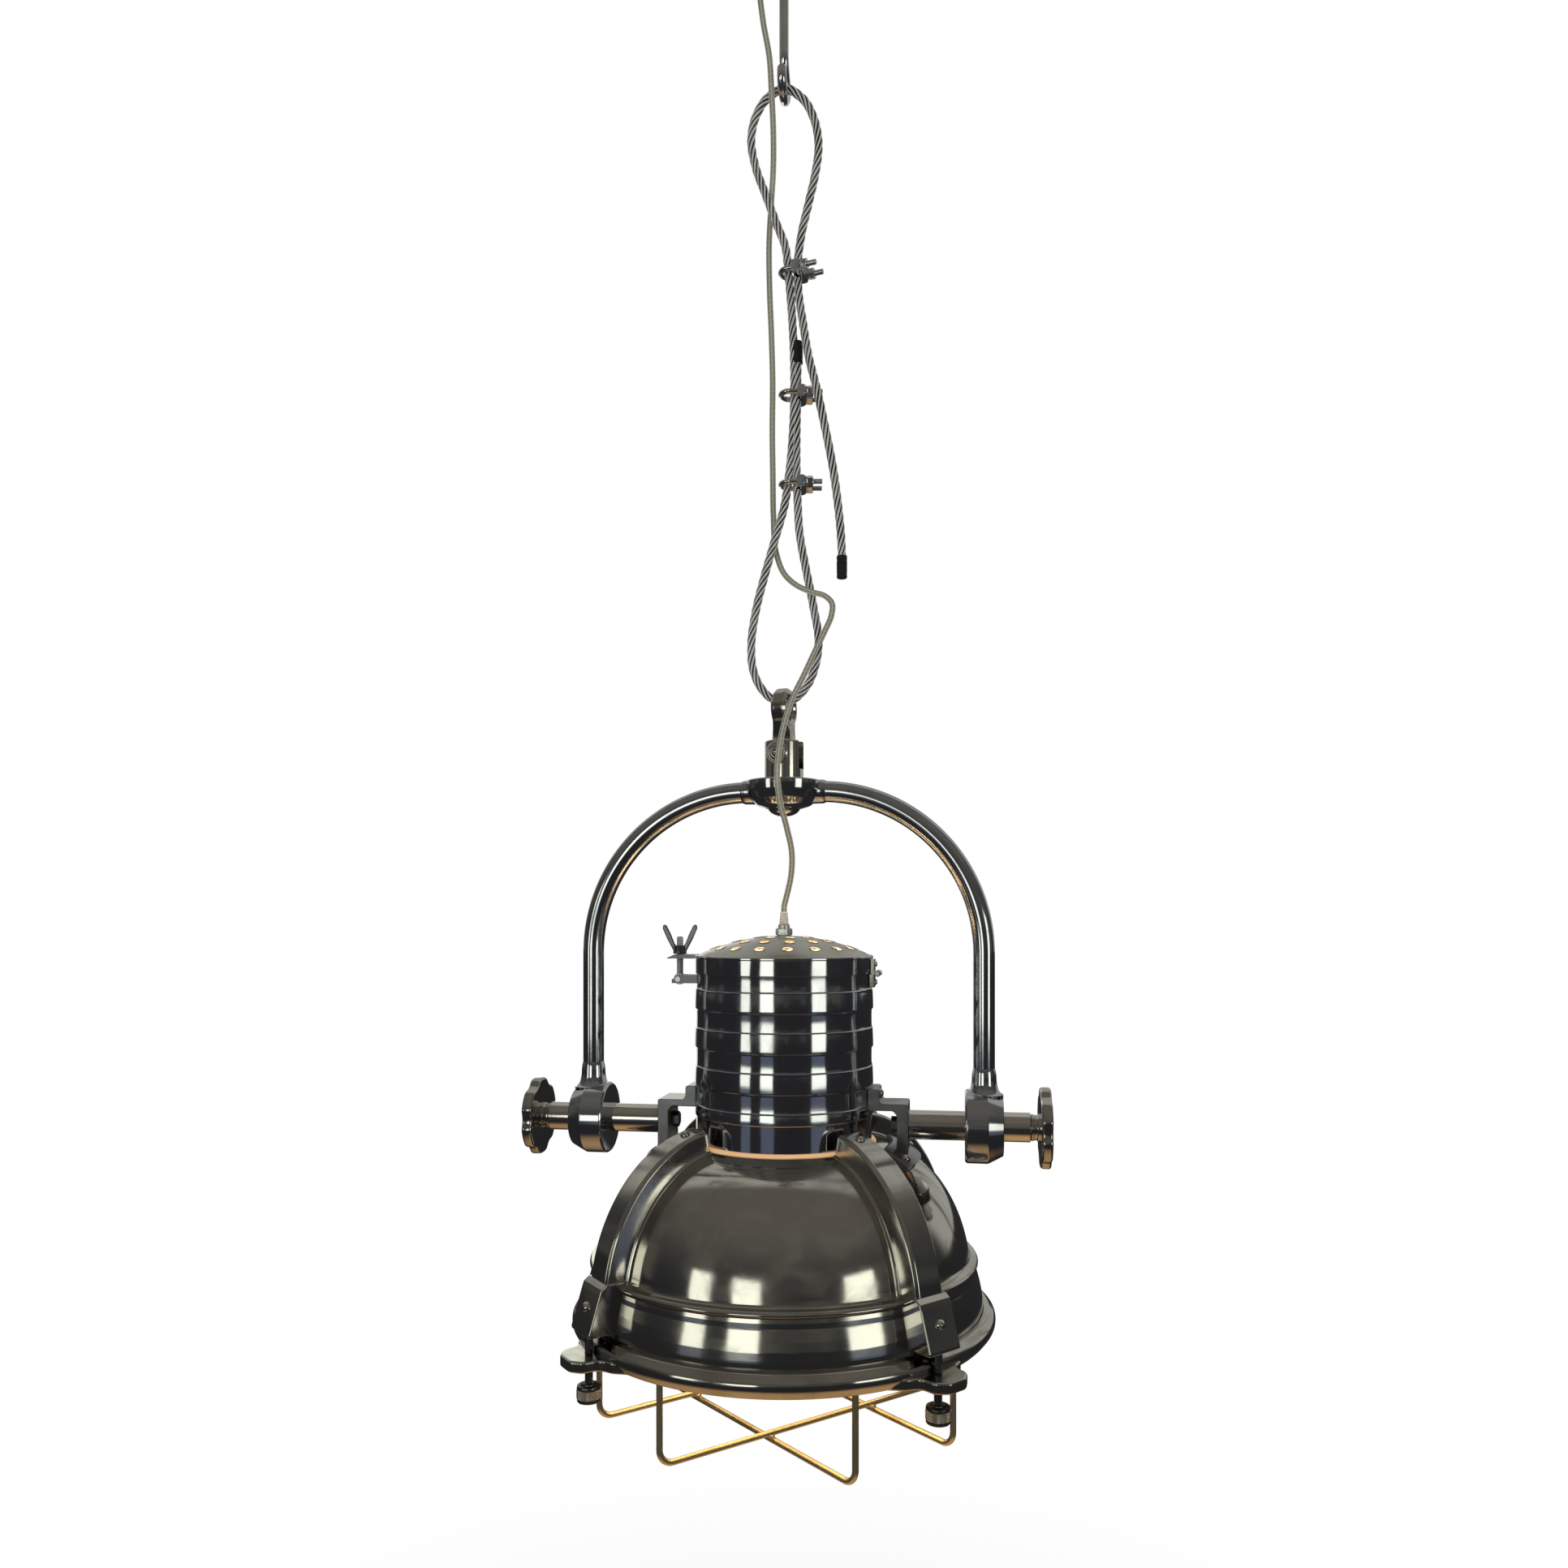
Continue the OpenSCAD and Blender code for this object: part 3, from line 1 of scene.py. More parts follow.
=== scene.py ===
# %% [markdown]
# # Ships pendant lamp
# The real lamp is a spun metal bell under a ribbed chimney. It tilts between the hubs of a bent
# tube bow, and the bow hangs by a swivel and an eye from a looped and clipped wire rope.
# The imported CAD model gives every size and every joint. This script dresses it: it swaps the
# parts whose shape needs more than flat facets, and gives a finish to each part that stays.

# %% Load the frame
import math
import bmesh
import bpy
from mathutils import Matrix, Vector


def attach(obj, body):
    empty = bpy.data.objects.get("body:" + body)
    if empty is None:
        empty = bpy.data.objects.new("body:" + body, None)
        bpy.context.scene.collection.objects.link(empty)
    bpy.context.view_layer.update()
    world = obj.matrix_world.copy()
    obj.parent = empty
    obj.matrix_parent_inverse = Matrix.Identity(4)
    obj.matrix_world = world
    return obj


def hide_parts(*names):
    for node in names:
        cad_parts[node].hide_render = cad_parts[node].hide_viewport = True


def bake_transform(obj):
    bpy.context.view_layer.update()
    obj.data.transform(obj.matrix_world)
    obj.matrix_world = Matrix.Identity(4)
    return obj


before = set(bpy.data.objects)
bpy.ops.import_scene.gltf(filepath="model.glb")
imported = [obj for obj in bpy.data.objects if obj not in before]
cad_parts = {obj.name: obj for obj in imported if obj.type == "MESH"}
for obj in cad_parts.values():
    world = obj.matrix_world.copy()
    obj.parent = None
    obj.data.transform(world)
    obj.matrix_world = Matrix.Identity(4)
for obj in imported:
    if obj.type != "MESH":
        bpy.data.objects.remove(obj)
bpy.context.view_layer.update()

# %% [markdown]
# The CAD model measures its heights in millimetres from the lamp's tilt axis, which hangs
# 1130 mm under the ceiling. One function turns such a point into the frame's metres, so every
# number below can be read beside the CAD source.

# %% Places
DROP = 1130.0


def at(x, y, z):
    return Vector((x, y, z - DROP)) * 0.001


def spot(radius, turn, z=0.0):
    """A point by its distance from the axis and its turn in degrees."""
    return Vector((radius * math.cos(math.radians(turn)), radius * math.sin(math.radians(turn)), z))


print("the tilt axis is at", at(0, 0, 0))

# %% [markdown]
# ## Camera
# The photograph was taken with a phone from just over a metre away, level, at the height of the
# chimney's lid, and a little to the right of the lamp's front. A level camera keeps upright
# lines parallel. The shift moves the frame up the rope without tilting the camera.

# %% Camera
swing = math.radians(8.5)
camera = bpy.data.objects.new("Camera", bpy.data.cameras.new("Camera"))
bpy.context.scene.collection.objects.link(camera)
camera.location = (1.115 * math.sin(swing), -1.115 * math.cos(swing), -0.938)
camera.rotation_euler = (math.pi / 2, 0, swing)
camera.data.sensor_width = 36
camera.data.lens = 27
camera.data.shift_y = 0.0859
camera.data.clip_start = 0.02
bpy.context.scene.camera = camera
print("camera at", tuple(round(v, 3) for v in camera.location))

# %% [markdown]
# ## Studio
# Polished metal has hardly any colour of its own: it shows the room. Three tall soft boxes stand
# in front, where the photograph's bell shows three pale squares. The room behind the camera is
# dim, and a white backdrop stands behind the lamp. The world is drawn from the direction that is
# looked in, so the reflections stay put when the camera moves round.
# White reaches the eye, glossy rays and clear parts alike, and diffuse light is kept plain.

# %% Node helper
def ink(code):
    """An sRGB hex value as linear colour."""
    parts = [int(code[i:i + 2], 16) / 255 for i in (1, 3, 5)]
    return (*(p / 12.92 if p <= 0.04045 else ((p + 0.055) / 1.055) ** 2.4 for p in parts), 1.0)


def add(tree, kind, inputs=None, **settings):
    """One node with its settings; an input is a value, or the socket that feeds it."""
    node = tree.nodes.new(kind)
    for name, value in settings.items():
        setattr(node, name, value)
    for key, value in (inputs or {}).items():
        if isinstance(value, bpy.types.NodeSocket):
            tree.links.new(value, node.inputs[key])
        else:
            node.inputs[key].default_value = value
    return node


# %% World
world = bpy.data.worlds.new("Studio")
bpy.context.scene.world = world
world.use_nodes = True
tree = world.node_tree
tree.nodes.clear()
look = add(tree, "ShaderNodeTexCoord").outputs["Generated"]
parts = add(tree, "ShaderNodeSeparateXYZ", {0: look})
back = add(tree, "ShaderNodeMath", {0: parts.outputs["Z"], 1: 0.5, 2: parts.outputs["Y"]},
    operation="MULTIPLY_ADD")
behind = add(tree, "ShaderNodeMapRange", {"Value": back.outputs[0], "From Min": 0.5,
    "From Max": 0.66, "To Min": 0.0, "To Max": 1.0}, interpolation_type="SMOOTHSTEP")
height = add(tree, "ShaderNodeMapRange", {"Value": parts.outputs["Z"], "From Min": 0.0,
    "From Max": 0.8, "To Min": 0.0, "To Max": 1.0}, interpolation_type="SMOOTHSTEP")
clutter = add(tree, "ShaderNodeTexNoise", {"Vector": look, "Scale": 2.6, "Detail": 2.0,
    "Roughness": 0.5, "Distortion": 0.8})
shapes = add(tree, "ShaderNodeMapRange", {"Value": clutter.outputs[0], "From Min": 0.47,
    "From Max": 0.68, "To Min": 0.0, "To Max": 0.5}, interpolation_type="SMOOTHSTEP")
walls = add(tree, "ShaderNodeMix", {0: height.outputs[0], 6: ink("#303236"), 7: ink("#6a6762")},
    data_type="RGBA")
room = add(tree, "ShaderNodeMix", {0: shapes.outputs[0], 6: walls.outputs[2],
    7: ink("#747267")}, data_type="RGBA")
upright = add(tree, "ShaderNodeMapping", {"Vector": look, "Scale": (9.0, 9.0, 0.8)})
frames = add(tree, "ShaderNodeTexNoise", {"Vector": upright.outputs[0], "Scale": 1.0,
    "Detail": 2.0})
bars = add(tree, "ShaderNodeMapRange", {"Value": frames.outputs[0], "From Min": 0.48,
    "From Max": 0.78}, interpolation_type="SMOOTHSTEP")
far_wall = add(tree, "ShaderNodeMix", {0: bars.outputs[0], 6: ink("#b4b4ae"),
    7: ink("#4c4d50")}, data_type="RGBA")
lit_room = add(tree, "ShaderNodeMix", {0: behind.outputs[0], 6: room.outputs[2],
    7: far_wall.outputs[2]}, data_type="RGBA")
path = add(tree, "ShaderNodeLightPath")
seen = add(tree, "ShaderNodeMath", {0: path.outputs["Is Glossy Ray"],
    1: path.outputs["Is Transmission Ray"]}, operation="ADD", use_clamp=True)
white = add(tree, "ShaderNodeMix", {0: path.outputs["Is Camera Ray"], 6: lit_room.outputs[2],
    7: (1, 1, 1, 1)}, data_type="RGBA")
either = add(tree, "ShaderNodeMath", {0: seen.outputs[0], 1: path.outputs["Is Camera Ray"]},
    operation="ADD", use_clamp=True)
plain = add(tree, "ShaderNodeBackground", {"Color": ink("#f1efec"), "Strength": 0.42})
shown = add(tree, "ShaderNodeBackground", {"Color": white.outputs[2], "Strength": 1.0})
both = add(tree, "ShaderNodeMixShader", {0: either.outputs[0], 1: plain.outputs[0],
    2: shown.outputs[0]})
add(tree, "ShaderNodeOutputWorld", {"Surface": both.outputs[0]})
bpy.context.scene.view_settings.view_transform = "Standard"
print("world ready")

# %% Soft boxes
BOXES = (("left", -41, 6.2, 1.7, 6, -0.755, 1.81), ("middle", -13, 8.2, 1.9, 6, -0.755, 1.81),
    ("right", 53, 9.5, 1.8, 6, -0.755, 1.81), ("left_apron", -41, 6.2, 0.2, 3, -1.7, 0.58),
    ("middle_apron", -13, 8.2, 0.2, 3, -1.7, 0.58), ("right_apron", 53, 9.5, 0.2, 3, -1.7,
    0.58), ("rear", -158, 10, 0.9, 3, -0.9, 1.6))
for name, turn, half, strength, far, level, high in BOXES:
    light = bpy.data.lights.new(f"soft_box_{name}", "AREA")
    light.shape = "RECTANGLE"
    light.size = 2 * far * math.tan(math.radians(half))
    light.size_y = high
    light.energy = strength * math.pi * light.size * light.size_y
    light.color = ink("#b9c8e6" if "apron" in name else "#fbfff0")[:3]
    lamp = bpy.data.objects.new(light.name, light)
    bpy.context.scene.collection.objects.link(lamp)
    a = math.radians(turn)
    lamp.location = (far * math.sin(a), -far * math.cos(a), level)
    lamp.rotation_euler = (math.pi / 2, 0, a)
    lamp.visible_camera = False
    print(light.name, round(light.size, 2), "m wide,", round(light.energy), "W")

# %% [markdown]
# The floor lies about half a metre under the guard. It is a pale warm floor, which the undersides of the hubs
# and knobs show as a tan gleam. It keeps the lamp's soft shadow, and to the eye it is nearly
# white, so that it runs into the backdrop without an edge.

# %% Floor
floor_mesh = bpy.data.meshes.new("floor")
floor_mesh.from_pydata([(-40, -40, -2.0), (40, -40, -2.0), (40, 40, -2.0), (-40, 40, -2.0)],
    [], [(0, 1, 2, 3)])
floor = bpy.data.objects.new("floor", floor_mesh)
bpy.context.scene.collection.objects.link(floor)
pale = bpy.data.materials.new("pale warm floor")
pale.use_nodes = True
tree = pale.node_tree
tree.nodes.clear()
here = add(tree, "ShaderNodeTexCoord").outputs["Object"]
flat = add(tree, "ShaderNodeVectorMath", {0: here, 1: (1, 1, 0)}, operation="MULTIPLY")
away = add(tree, "ShaderNodeVectorMath", {0: flat.outputs[0]}, operation="LENGTH")
fade = add(tree, "ShaderNodeMapRange", {"Value": away.outputs["Value"], "From Min": 0.25,
    "From Max": 1.3, "To Min": 0.86, "To Max": 1.0}, interpolation_type="SMOOTHSTEP")
near = add(tree, "ShaderNodeMapRange", {"Value": away.outputs["Value"], "From Min": 0.3,
    "From Max": 1.0}, interpolation_type="SMOOTHSTEP")
path = add(tree, "ShaderNodeLightPath")
gleam = add(tree, "ShaderNodeMath", {0: path.outputs["Is Glossy Ray"],
    1: path.outputs["Is Transmission Ray"]}, operation="MAXIMUM")
share = add(tree, "ShaderNodeMath", {0: path.outputs["Is Camera Ray"], 1: fade.outputs[0],
    2: gleam.outputs[0]}, operation="MULTIPLY_ADD", use_clamp=True)
grain = add(tree, "ShaderNodeTexNoise", {"Vector": here, "Scale": 9.0, "Detail": 3.0})
tan = add(tree, "ShaderNodeMix", {0: grain.outputs[0], 6: ink("#b08a5e"), 7: ink("#d3ab7c")},
    data_type="RGBA")
board = add(tree, "ShaderNodeMix", {0: near.outputs[0], 6: tan.outputs[2],
    7: ink("#2e2e30")}, data_type="RGBA")
shown = add(tree, "ShaderNodeMix", {0: path.outputs["Is Camera Ray"], 6: board.outputs[2],
    7: (1, 1, 1, 1)}, data_type="RGBA")
worn = add(tree, "ShaderNodeBsdfDiffuse", {"Color": ink("#f4f0ea")})
glow = add(tree, "ShaderNodeEmission", {"Color": shown.outputs[2], "Strength": 1.0})
mixed = add(tree, "ShaderNodeMixShader", {0: share.outputs[0], 1: worn.outputs[0],
    2: glow.outputs[0]})
add(tree, "ShaderNodeOutputMaterial", {"Surface": mixed.outputs[0]})
floor_mesh.materials.append(pale)
print("floor ready")

# %% [markdown]
# ## Shapes
# Most pieces are outlines that are turned, carried along a path, or made into a slab. A shape
# here is a list of points in millimetres and a list of faces, so several can be joined into one
# piece before Blender sees them. Corners get true fillets, because polished metal shows each
# radius as a line of light.

# %% Outlines
def rounded(corners, steps=5):
    """Corners as (across, up, radius) with an arc in place of each; the ends of an open
    outline have radius 0."""
    line, n = [], len(corners)
    for i, (x, y, r) in enumerate(corners):
        here = Vector((x, y))
        if r <= 0:
            line.append(here)
            continue
        before = Vector(corners[i - 1][:2]) - here
        after = Vector(corners[(i + 1) % n][:2]) - here
        half = before.angle(after) / 2
        cut = min(r / math.tan(half), before.length * 0.49, after.length * 0.49)
        r = cut * math.tan(half)
        middle = here + (before.normalized() + after.normalized()).normalized() * r / math.sin(half)
        a = here + before.normalized() * cut - middle
        b = here + after.normalized() * cut - middle
        turn = a.angle_signed(b)
        for k in range(steps + 1):
            line.append(middle + Matrix.Rotation(-turn * k / steps, 2) @ a)
    return [tuple(p) for p in line]


def arc(middle, radius, start, stop, steps=16):
    return [(middle[0] + radius * math.cos(math.radians(start + (stop - start) * k / steps)),
        middle[1] + radius * math.sin(math.radians(start + (stop - start) * k / steps)))
        for k in range(steps + 1)]


def shrunk(outline, inward):
    """A closed outline that runs anticlockwise, moved inward."""
    moved = []
    for i, p in enumerate(outline):
        a, b = Vector(outline[i - 1]), Vector(outline[(i + 1) % len(outline)])
        p = Vector(p)
        e, f = (p - a), (b - p)
        n = Vector((-(e.normalized() + f.normalized()).y, (e.normalized() + f.normalized()).x))
        n.normalize()
        lean = max(0.5, n.dot(Vector((-e.y, e.x)).normalized()))
        moved.append(tuple(p + n * inward / lean))
    return moved


# %% Shapes
def skin(rings, closed_round=True, caps=True, loop=False):
    """Faces between rings of equal length; a ring of one point is a pole."""
    points, faces, rows = [], [], []
    for ring in rings:
        rows.append(range(len(points), len(points) + len(ring)))
        points += [Vector(p) for p in ring]
    for a, b in list(zip(rows, rows[1:])) + ([(rows[-1], rows[0])] if loop else []):
        n = max(len(a), len(b))
        if n == 1:
            continue
        for i in range(n if closed_round else n - 1):
            j = (i + 1) % n
            if len(a) == 1:
                faces.append((a[0], b[i], b[j]))
            elif len(b) == 1:
                faces.append((a[i], b[0], a[j]))
            else:
                faces.append((a[i], b[i], b[j], a[j]))
    if caps and not loop:
        for row in (rows[0], rows[-1]):
            if len(row) > 2:
                faces.append(tuple(row))
    return points, faces


def lathe(outline, turns=96, loop=False):
    """An outline of (radius, height) turned about the Z axis."""
    rings = [[Vector((0, 0, z))] if r < 1e-6 else [spot(r, 360 * k / turns, z)
        for k in range(turns)] for r, z in outline]
    return skin(rings, loop=loop)


def carry(path, outline, side, grow=None, twist=None, loop=False):
    """An outline carried along a path. side is where its first axis points at the start;
    grow and twist give its size and turn at each point."""
    path, side, rings = [Vector(p) for p in path], Vector(side), []
    for i, p in enumerate(path):
        if loop:
            ahead = (path[(i + 1) % len(path)] - path[i - 1]).normalized()
        else:
            ahead = (path[min(i + 1, len(path) - 1)] - path[max(i - 1, 0)]).normalized()
        side = (side - ahead * side.dot(ahead)).normalized()
        up = ahead.cross(side)
        s, t = grow[i] if grow else 1.0, twist[i] if twist else 0.0
        c, w = math.cos(t) * s, math.sin(t) * s
        rings.append([p + side * (a * c - b * w) + up * (a * w + b * c) for a, b in outline])
    return skin(rings, loop=loop)


def slab(outline, low, high, edge=0.0, steps=3):
    """A closed outline made solid between two heights, with a rounded edge."""
    rings = []
    for k in range(steps + 1) if edge else [0]:
        t = math.pi / 2 * k / steps
        flat = shrunk(outline, edge * (1 - math.sin(t))) if edge else outline
        rings.append([(x, y, low + edge * (1 - math.cos(t))) for x, y in flat])
    for k in range(steps, -1, -1) if edge else [0]:
        t = math.pi / 2 * k / steps
        flat = shrunk(outline, edge * (1 - math.sin(t))) if edge else outline
        rings.append([(x, y, high - edge * (1 - math.cos(t))) for x, y in flat])
    return skin(rings)


def moved(shape, matrix):
    return [matrix @ Vector(p) for p in shape[0]], shape[1]


def joined(*shapes):
    points, faces = [], []
    for p, f in shapes:
        faces += [tuple(i + len(points) for i in face) for face in f]
        points += p
    return points, faces


def put(x=0.0, y=0.0, z=0.0, turn=0.0, tip=None):
    """A matrix that tips a shape's Z axis to point along tip, turns it about Z, and moves it."""
    lay = Vector((0, 0, 1)).rotation_difference(Vector(tip)).to_matrix().to_4x4() if tip \
        else Matrix.Identity(4)
    return Matrix.Translation((x, y, z)) @ Matrix.Rotation(math.radians(turn), 4, "Z") @ lay


# %% Pieces
def piece(name, shape, finish, body, *nodes, sharp=34, marks=None):
    """A Blender object made of a shape, with its finish, riding on its body in place of the
    CAD nodes. marks are named numbers, one for each point."""
    mesh = bpy.data.meshes.new(name)
    mesh.from_pydata([at(*p) for p in shape[0]], [], shape[1])
    soft = bmesh.new()
    soft.from_mesh(mesh)
    bmesh.ops.recalc_face_normals(soft, faces=soft.faces)
    soft.to_mesh(mesh)
    soft.free()
    for mark, values in (marks or {}).items():
        mesh.attributes.new(mark, "FLOAT", "POINT").data.foreach_set("value", values)
    return settle(name, mesh, finish, body, *nodes, sharp=sharp)


def settle(name, mesh, finish, body, *nodes, sharp=34):
    mesh.materials.clear()
    mesh.materials.append(finish)
    mesh.validate()
    mesh.shade_smooth()
    mesh.set_sharp_from_angle(angle=math.radians(sharp))
    thing = bpy.data.objects.new(name, mesh)
    bpy.context.scene.collection.objects.link(thing)
    even = thing.modifiers.new("even", "WEIGHTED_NORMAL")
    even.keep_sharp = True
    seen = thing.evaluated_get(bpy.context.evaluated_depsgraph_get())
    thing.data = bpy.data.meshes.new_from_object(seen)
    thing.modifiers.remove(even)
    thing.data.name = name
    mesh = thing.data
    if body:
        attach(thing, body)
    if nodes:
        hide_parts(*nodes)
    print(name, len(mesh.vertices), "points")
    return thing


# %% Paths
def evenly(line, step):
    """The line again, with its points step apart."""
    gaps = [(b - a).length for a, b in zip(line, line[1:])]
    count = max(2, round(sum(gaps) / step))
    want, out, i, gone = sum(gaps) / count, [], 0, 0.0
    for k in range(count):
        while gone + gaps[i] < k * want:
            gone, i = gone + gaps[i], i + 1
        out.append(line[i].lerp(line[i + 1], (k * want - gone) / gaps[i]))
    return out + [line[-1]]


def run(points, step):
    """A smooth line through the points, for ropes and cords."""
    p = [Vector(q) for q in points]
    gaps = [(b - a).length for a, b in zip(p, p[1:])]
    lean = [(b - a) / g for a, b, g in zip(p, p[1:], gaps)]
    tangents = [lean[0]] + [(a * h + b * g) / (g + h) for a, b, g, h in zip(lean, lean[1:], gaps,
        gaps[1:])] + [lean[-1]]
    fine = []
    for i, g in enumerate(gaps):
        for k in range(24):
            t = k / 24
            fine.append(p[i] * (1 + 2 * t) * (1 - t) ** 2 + tangents[i] * g * t * (1 - t) ** 2
                + p[i + 1] * t * t * (3 - 2 * t) + tangents[i + 1] * g * t * t * (t - 1))
    return evenly(fine + [p[-1]], step)


def length(line):
    return sum((b - a).length for a, b in zip(line, line[1:]))
# %% [markdown]
# ## Finishes
# Nearly all of the lamp is cast or spun aluminium, plated with nickel and buffed. Buffing leaves
# slow waves of a few centimetres in the sheet, which bend the reflections, and faint lines that
# run the way the wheel went. Handling leaves cloudy patches where the shine is a little dull.
# One function builds that family, and each finish then sets its own waves and dullness.

# %% Buffed metals
def buffed(name, clean, dull, shine, smear, wave_mm, wave_depth, lines, casting=0.0,
        mirror=1.0):
    """shine and smear are the roughness of clean and cloudy metal, wave_mm the length of the
    slow waves, lines the strength of the wheel's marks, casting that of a cast skin."""
    finish = bpy.data.materials.new(name)
    finish.use_nodes = True
    tree = finish.node_tree
    tree.nodes.clear()
    here = add(tree, "ShaderNodeTexCoord").outputs["Object"]
    cloud = add(tree, "ShaderNodeTexNoise", {"Vector": here, "Scale": 14.0, "Detail": 5.0,
        "Roughness": 0.62, "Distortion": 0.4})
    patch = add(tree, "ShaderNodeMapRange", {"Value": cloud.outputs[0], "From Min": 0.46,
        "From Max": 0.74}, interpolation_type="SMOOTHSTEP")
    flow = add(tree, "ShaderNodeMapping", {"Vector": here, "Scale": (60.0, 60.0, 1400.0)})
    wheel = add(tree, "ShaderNodeTexNoise", {"Vector": flow.outputs[0], "Scale": 1.0,
        "Detail": 3.0, "Roughness": 0.7})
    fleck = add(tree, "ShaderNodeTexVoronoi", {"Vector": here, "Scale": 90.0})
    pit = add(tree, "ShaderNodeMapRange", {"Value": fleck.outputs["Distance"], "From Min": 0.015,
        "From Max": 0.035}, clamp=True)
    tint = add(tree, "ShaderNodeMix", {0: patch.outputs[0], 6: ink(clean), 7: ink(dull)},
        data_type="RGBA")
    pitted = add(tree, "ShaderNodeMix", {0: pit.outputs[0], 6: ink("#8a857c"),
        7: tint.outputs[2]}, data_type="RGBA")
    soften = add(tree, "ShaderNodeMapRange", {"Value": patch.outputs[0], "To Min": shine,
        "To Max": smear})
    streak = add(tree, "ShaderNodeMath", {0: wheel.outputs[0], 1: 0.05, 2: soften.outputs[0]},
        operation="MULTIPLY_ADD", use_clamp=True)
    slow = add(tree, "ShaderNodeTexNoise", {"Vector": here, "Scale": 1000.0 / wave_mm,
        "Detail": 1.0, "Roughness": 0.35})
    wavy = add(tree, "ShaderNodeBump", {"Height": slow.outputs[0], "Strength": 1.0,
        "Distance": wave_depth * 0.001})
    grain = add(tree, "ShaderNodeTexNoise", {"Vector": here, "Scale": 900.0, "Detail": 3.0})
    cast = add(tree, "ShaderNodeBump", {"Height": grain.outputs[0], "Strength": casting,
        "Distance": 0.00008, "Normal": wavy.outputs[0]})
    ruled = add(tree, "ShaderNodeBump", {"Height": wheel.outputs[0], "Strength": lines,
        "Distance": 0.00003, "Normal": cast.outputs[0]})
    metal = add(tree, "ShaderNodeBsdfPrincipled", {"Base Color": pitted.outputs[2],
        "Metallic": mirror, "Roughness": streak.outputs[0], "Normal": ruled.outputs[0]})
    add(tree, "ShaderNodeOutputMaterial", {"Surface": metal.outputs[0]})
    return finish


spun = buffed("nickel plate on spun aluminium, buffed", "#c6c3bc", "#adaaa3", 0.07, 0.2, 55,
    0.45, 0.35)
ribbed = buffed("nickel plate on rolled sheet, mirror buffed", "#c3c4c8", "#a9a9ac", 0.05, 0.15,
    38, 0.5, 0.3)
cast = buffed("nickel plate on cast aluminium, buffed", "#c6c3bb", "#aba8a0", 0.07, 0.2, 38,
    0.36, 0.3, 0.03)
rough_cast = buffed("cast aluminium, wheel finished", "#8f9093", "#77777a", 0.26, 0.42, 18,
    0.3, 0.5, 0.9)
turned = buffed("nickel plate on turned steel", "#dcd8cf", "#bdb9b0", 0.07, 0.18, 45, 0.14, 0.5)
satin = buffed("nickel plate on pressed sheet, satin", "#c6c4bf", "#aaa8a3", 0.26, 0.36, 40,
    0.25, 0.6)
tube_finish = buffed("nickel plate on bent tube, mirror buffed", "#c4c6ca", "#a8a9ac", 0.07, 0.15,
    70, 0.12, 0.0)
print("buffed metals ready")

# %% [markdown]
# The guard is welded from bright steel rod under a thin lacquer that has gone tan, which is why it
# looks gilded beside the nickel. Small bought-in parts are zinc plated: duller, bluish and
# faintly mottled by the crystals of the plating.

# %% Rod and zinc
rod_finish = buffed("bright steel rod, lacquered tan", "#e2cfa6", "#bfa980", 0.13, 0.2, 60,
    0.03, 0.0, mirror=0.85)
zinc = buffed("zinc plate on steel", "#d9dcdd", "#b8bbbd", 0.24, 0.42, 9, 0.06, 0.5, 0.4,
    0.6)
dark_zinc = buffed("blackened steel", "#727378", "#55565a", 0.28, 0.42, 9, 0.06, 0.4, 0.4)
bright_zinc = buffed("bright zinc plate on forged steel", "#f0f2f4", "#c4c7cb", 0.1, 0.26, 7,
    0.12, 0.5, 0.3)
print("rod and zinc ready")

# %% [markdown]
# The rope is galvanised wire, six strands round a core. The shape has the strands, twisted as
# they are laid. The single wires are half a millimetre thick and lie nearly along the rope, so
# they are fine ridges in the finish, drawn about twice as coarse as real ones so that they show.
# The grooves between the strands are painted near black as shade, mottled with a little grime.

# %% Wire rope finish
# the grooves of this rope are darkened by painted shade, with some grime
rope_finish = bpy.data.materials.new("galvanised wire rope, greased in the grooves")
rope_finish.use_nodes = True
tree = rope_finish.node_tree
tree.nodes.clear()
groove = add(tree, "ShaderNodeAttribute", attribute_name="groove").outputs["Fac"]
around = add(tree, "ShaderNodeAttribute", attribute_name="around").outputs["Fac"]
along = add(tree, "ShaderNodeAttribute", attribute_name="along").outputs["Fac"]
wires = add(tree, "ShaderNodeMath", {0: around, 1: 30 * math.pi}, operation="MULTIPLY")
wires = add(tree, "ShaderNodeMath", {0: wires.outputs[0]}, operation="SINE")
here = add(tree, "ShaderNodeTexCoord").outputs["Object"]
stain = add(tree, "ShaderNodeTexNoise", {"Vector": here, "Scale": 45.0, "Detail": 4.0})
grime = add(tree, "ShaderNodeMath", {0: stain.outputs[0], 1: 0.5, 2: -0.25},
    operation="MULTIPLY_ADD")
# painted shade: the colour goes to near black with depth into the grooves between strands, mottled by noise
# grime
deep = add(tree, "ShaderNodeMath", {0: groove, 1: grime.outputs[0]}, operation="ADD")
dark = add(tree, "ShaderNodeMapRange", {"Value": deep.outputs[0], "From Min": 0.08,
    "From Max": 0.44}, interpolation_type="SMOOTHSTEP")
# painted sheen: the crest of each fine wire is painted a touch whiter
wire_crest_sheen = add(tree, "ShaderNodeMapRange", {"Value": wires.outputs[0], "From Min": -1.0,
    "From Max": 0.2})
bright = add(tree, "ShaderNodeMix", {0: wire_crest_sheen.outputs[0], 6: ink("#d9dcdf"),
    7: ink("#ffffff")}, data_type="RGBA")
colour = add(tree, "ShaderNodeMix", {0: dark.outputs[0], 6: bright.outputs[2],
    7: ink("#0d0d10")}, data_type="RGBA")
ridge = add(tree, "ShaderNodeBump", {"Height": wires.outputs[0], "Strength": 0.6,
    "Distance": 0.0001})
dull = add(tree, "ShaderNodeMapRange", {"Value": dark.outputs[0], "To Min": 0.24, "To Max": 0.6})
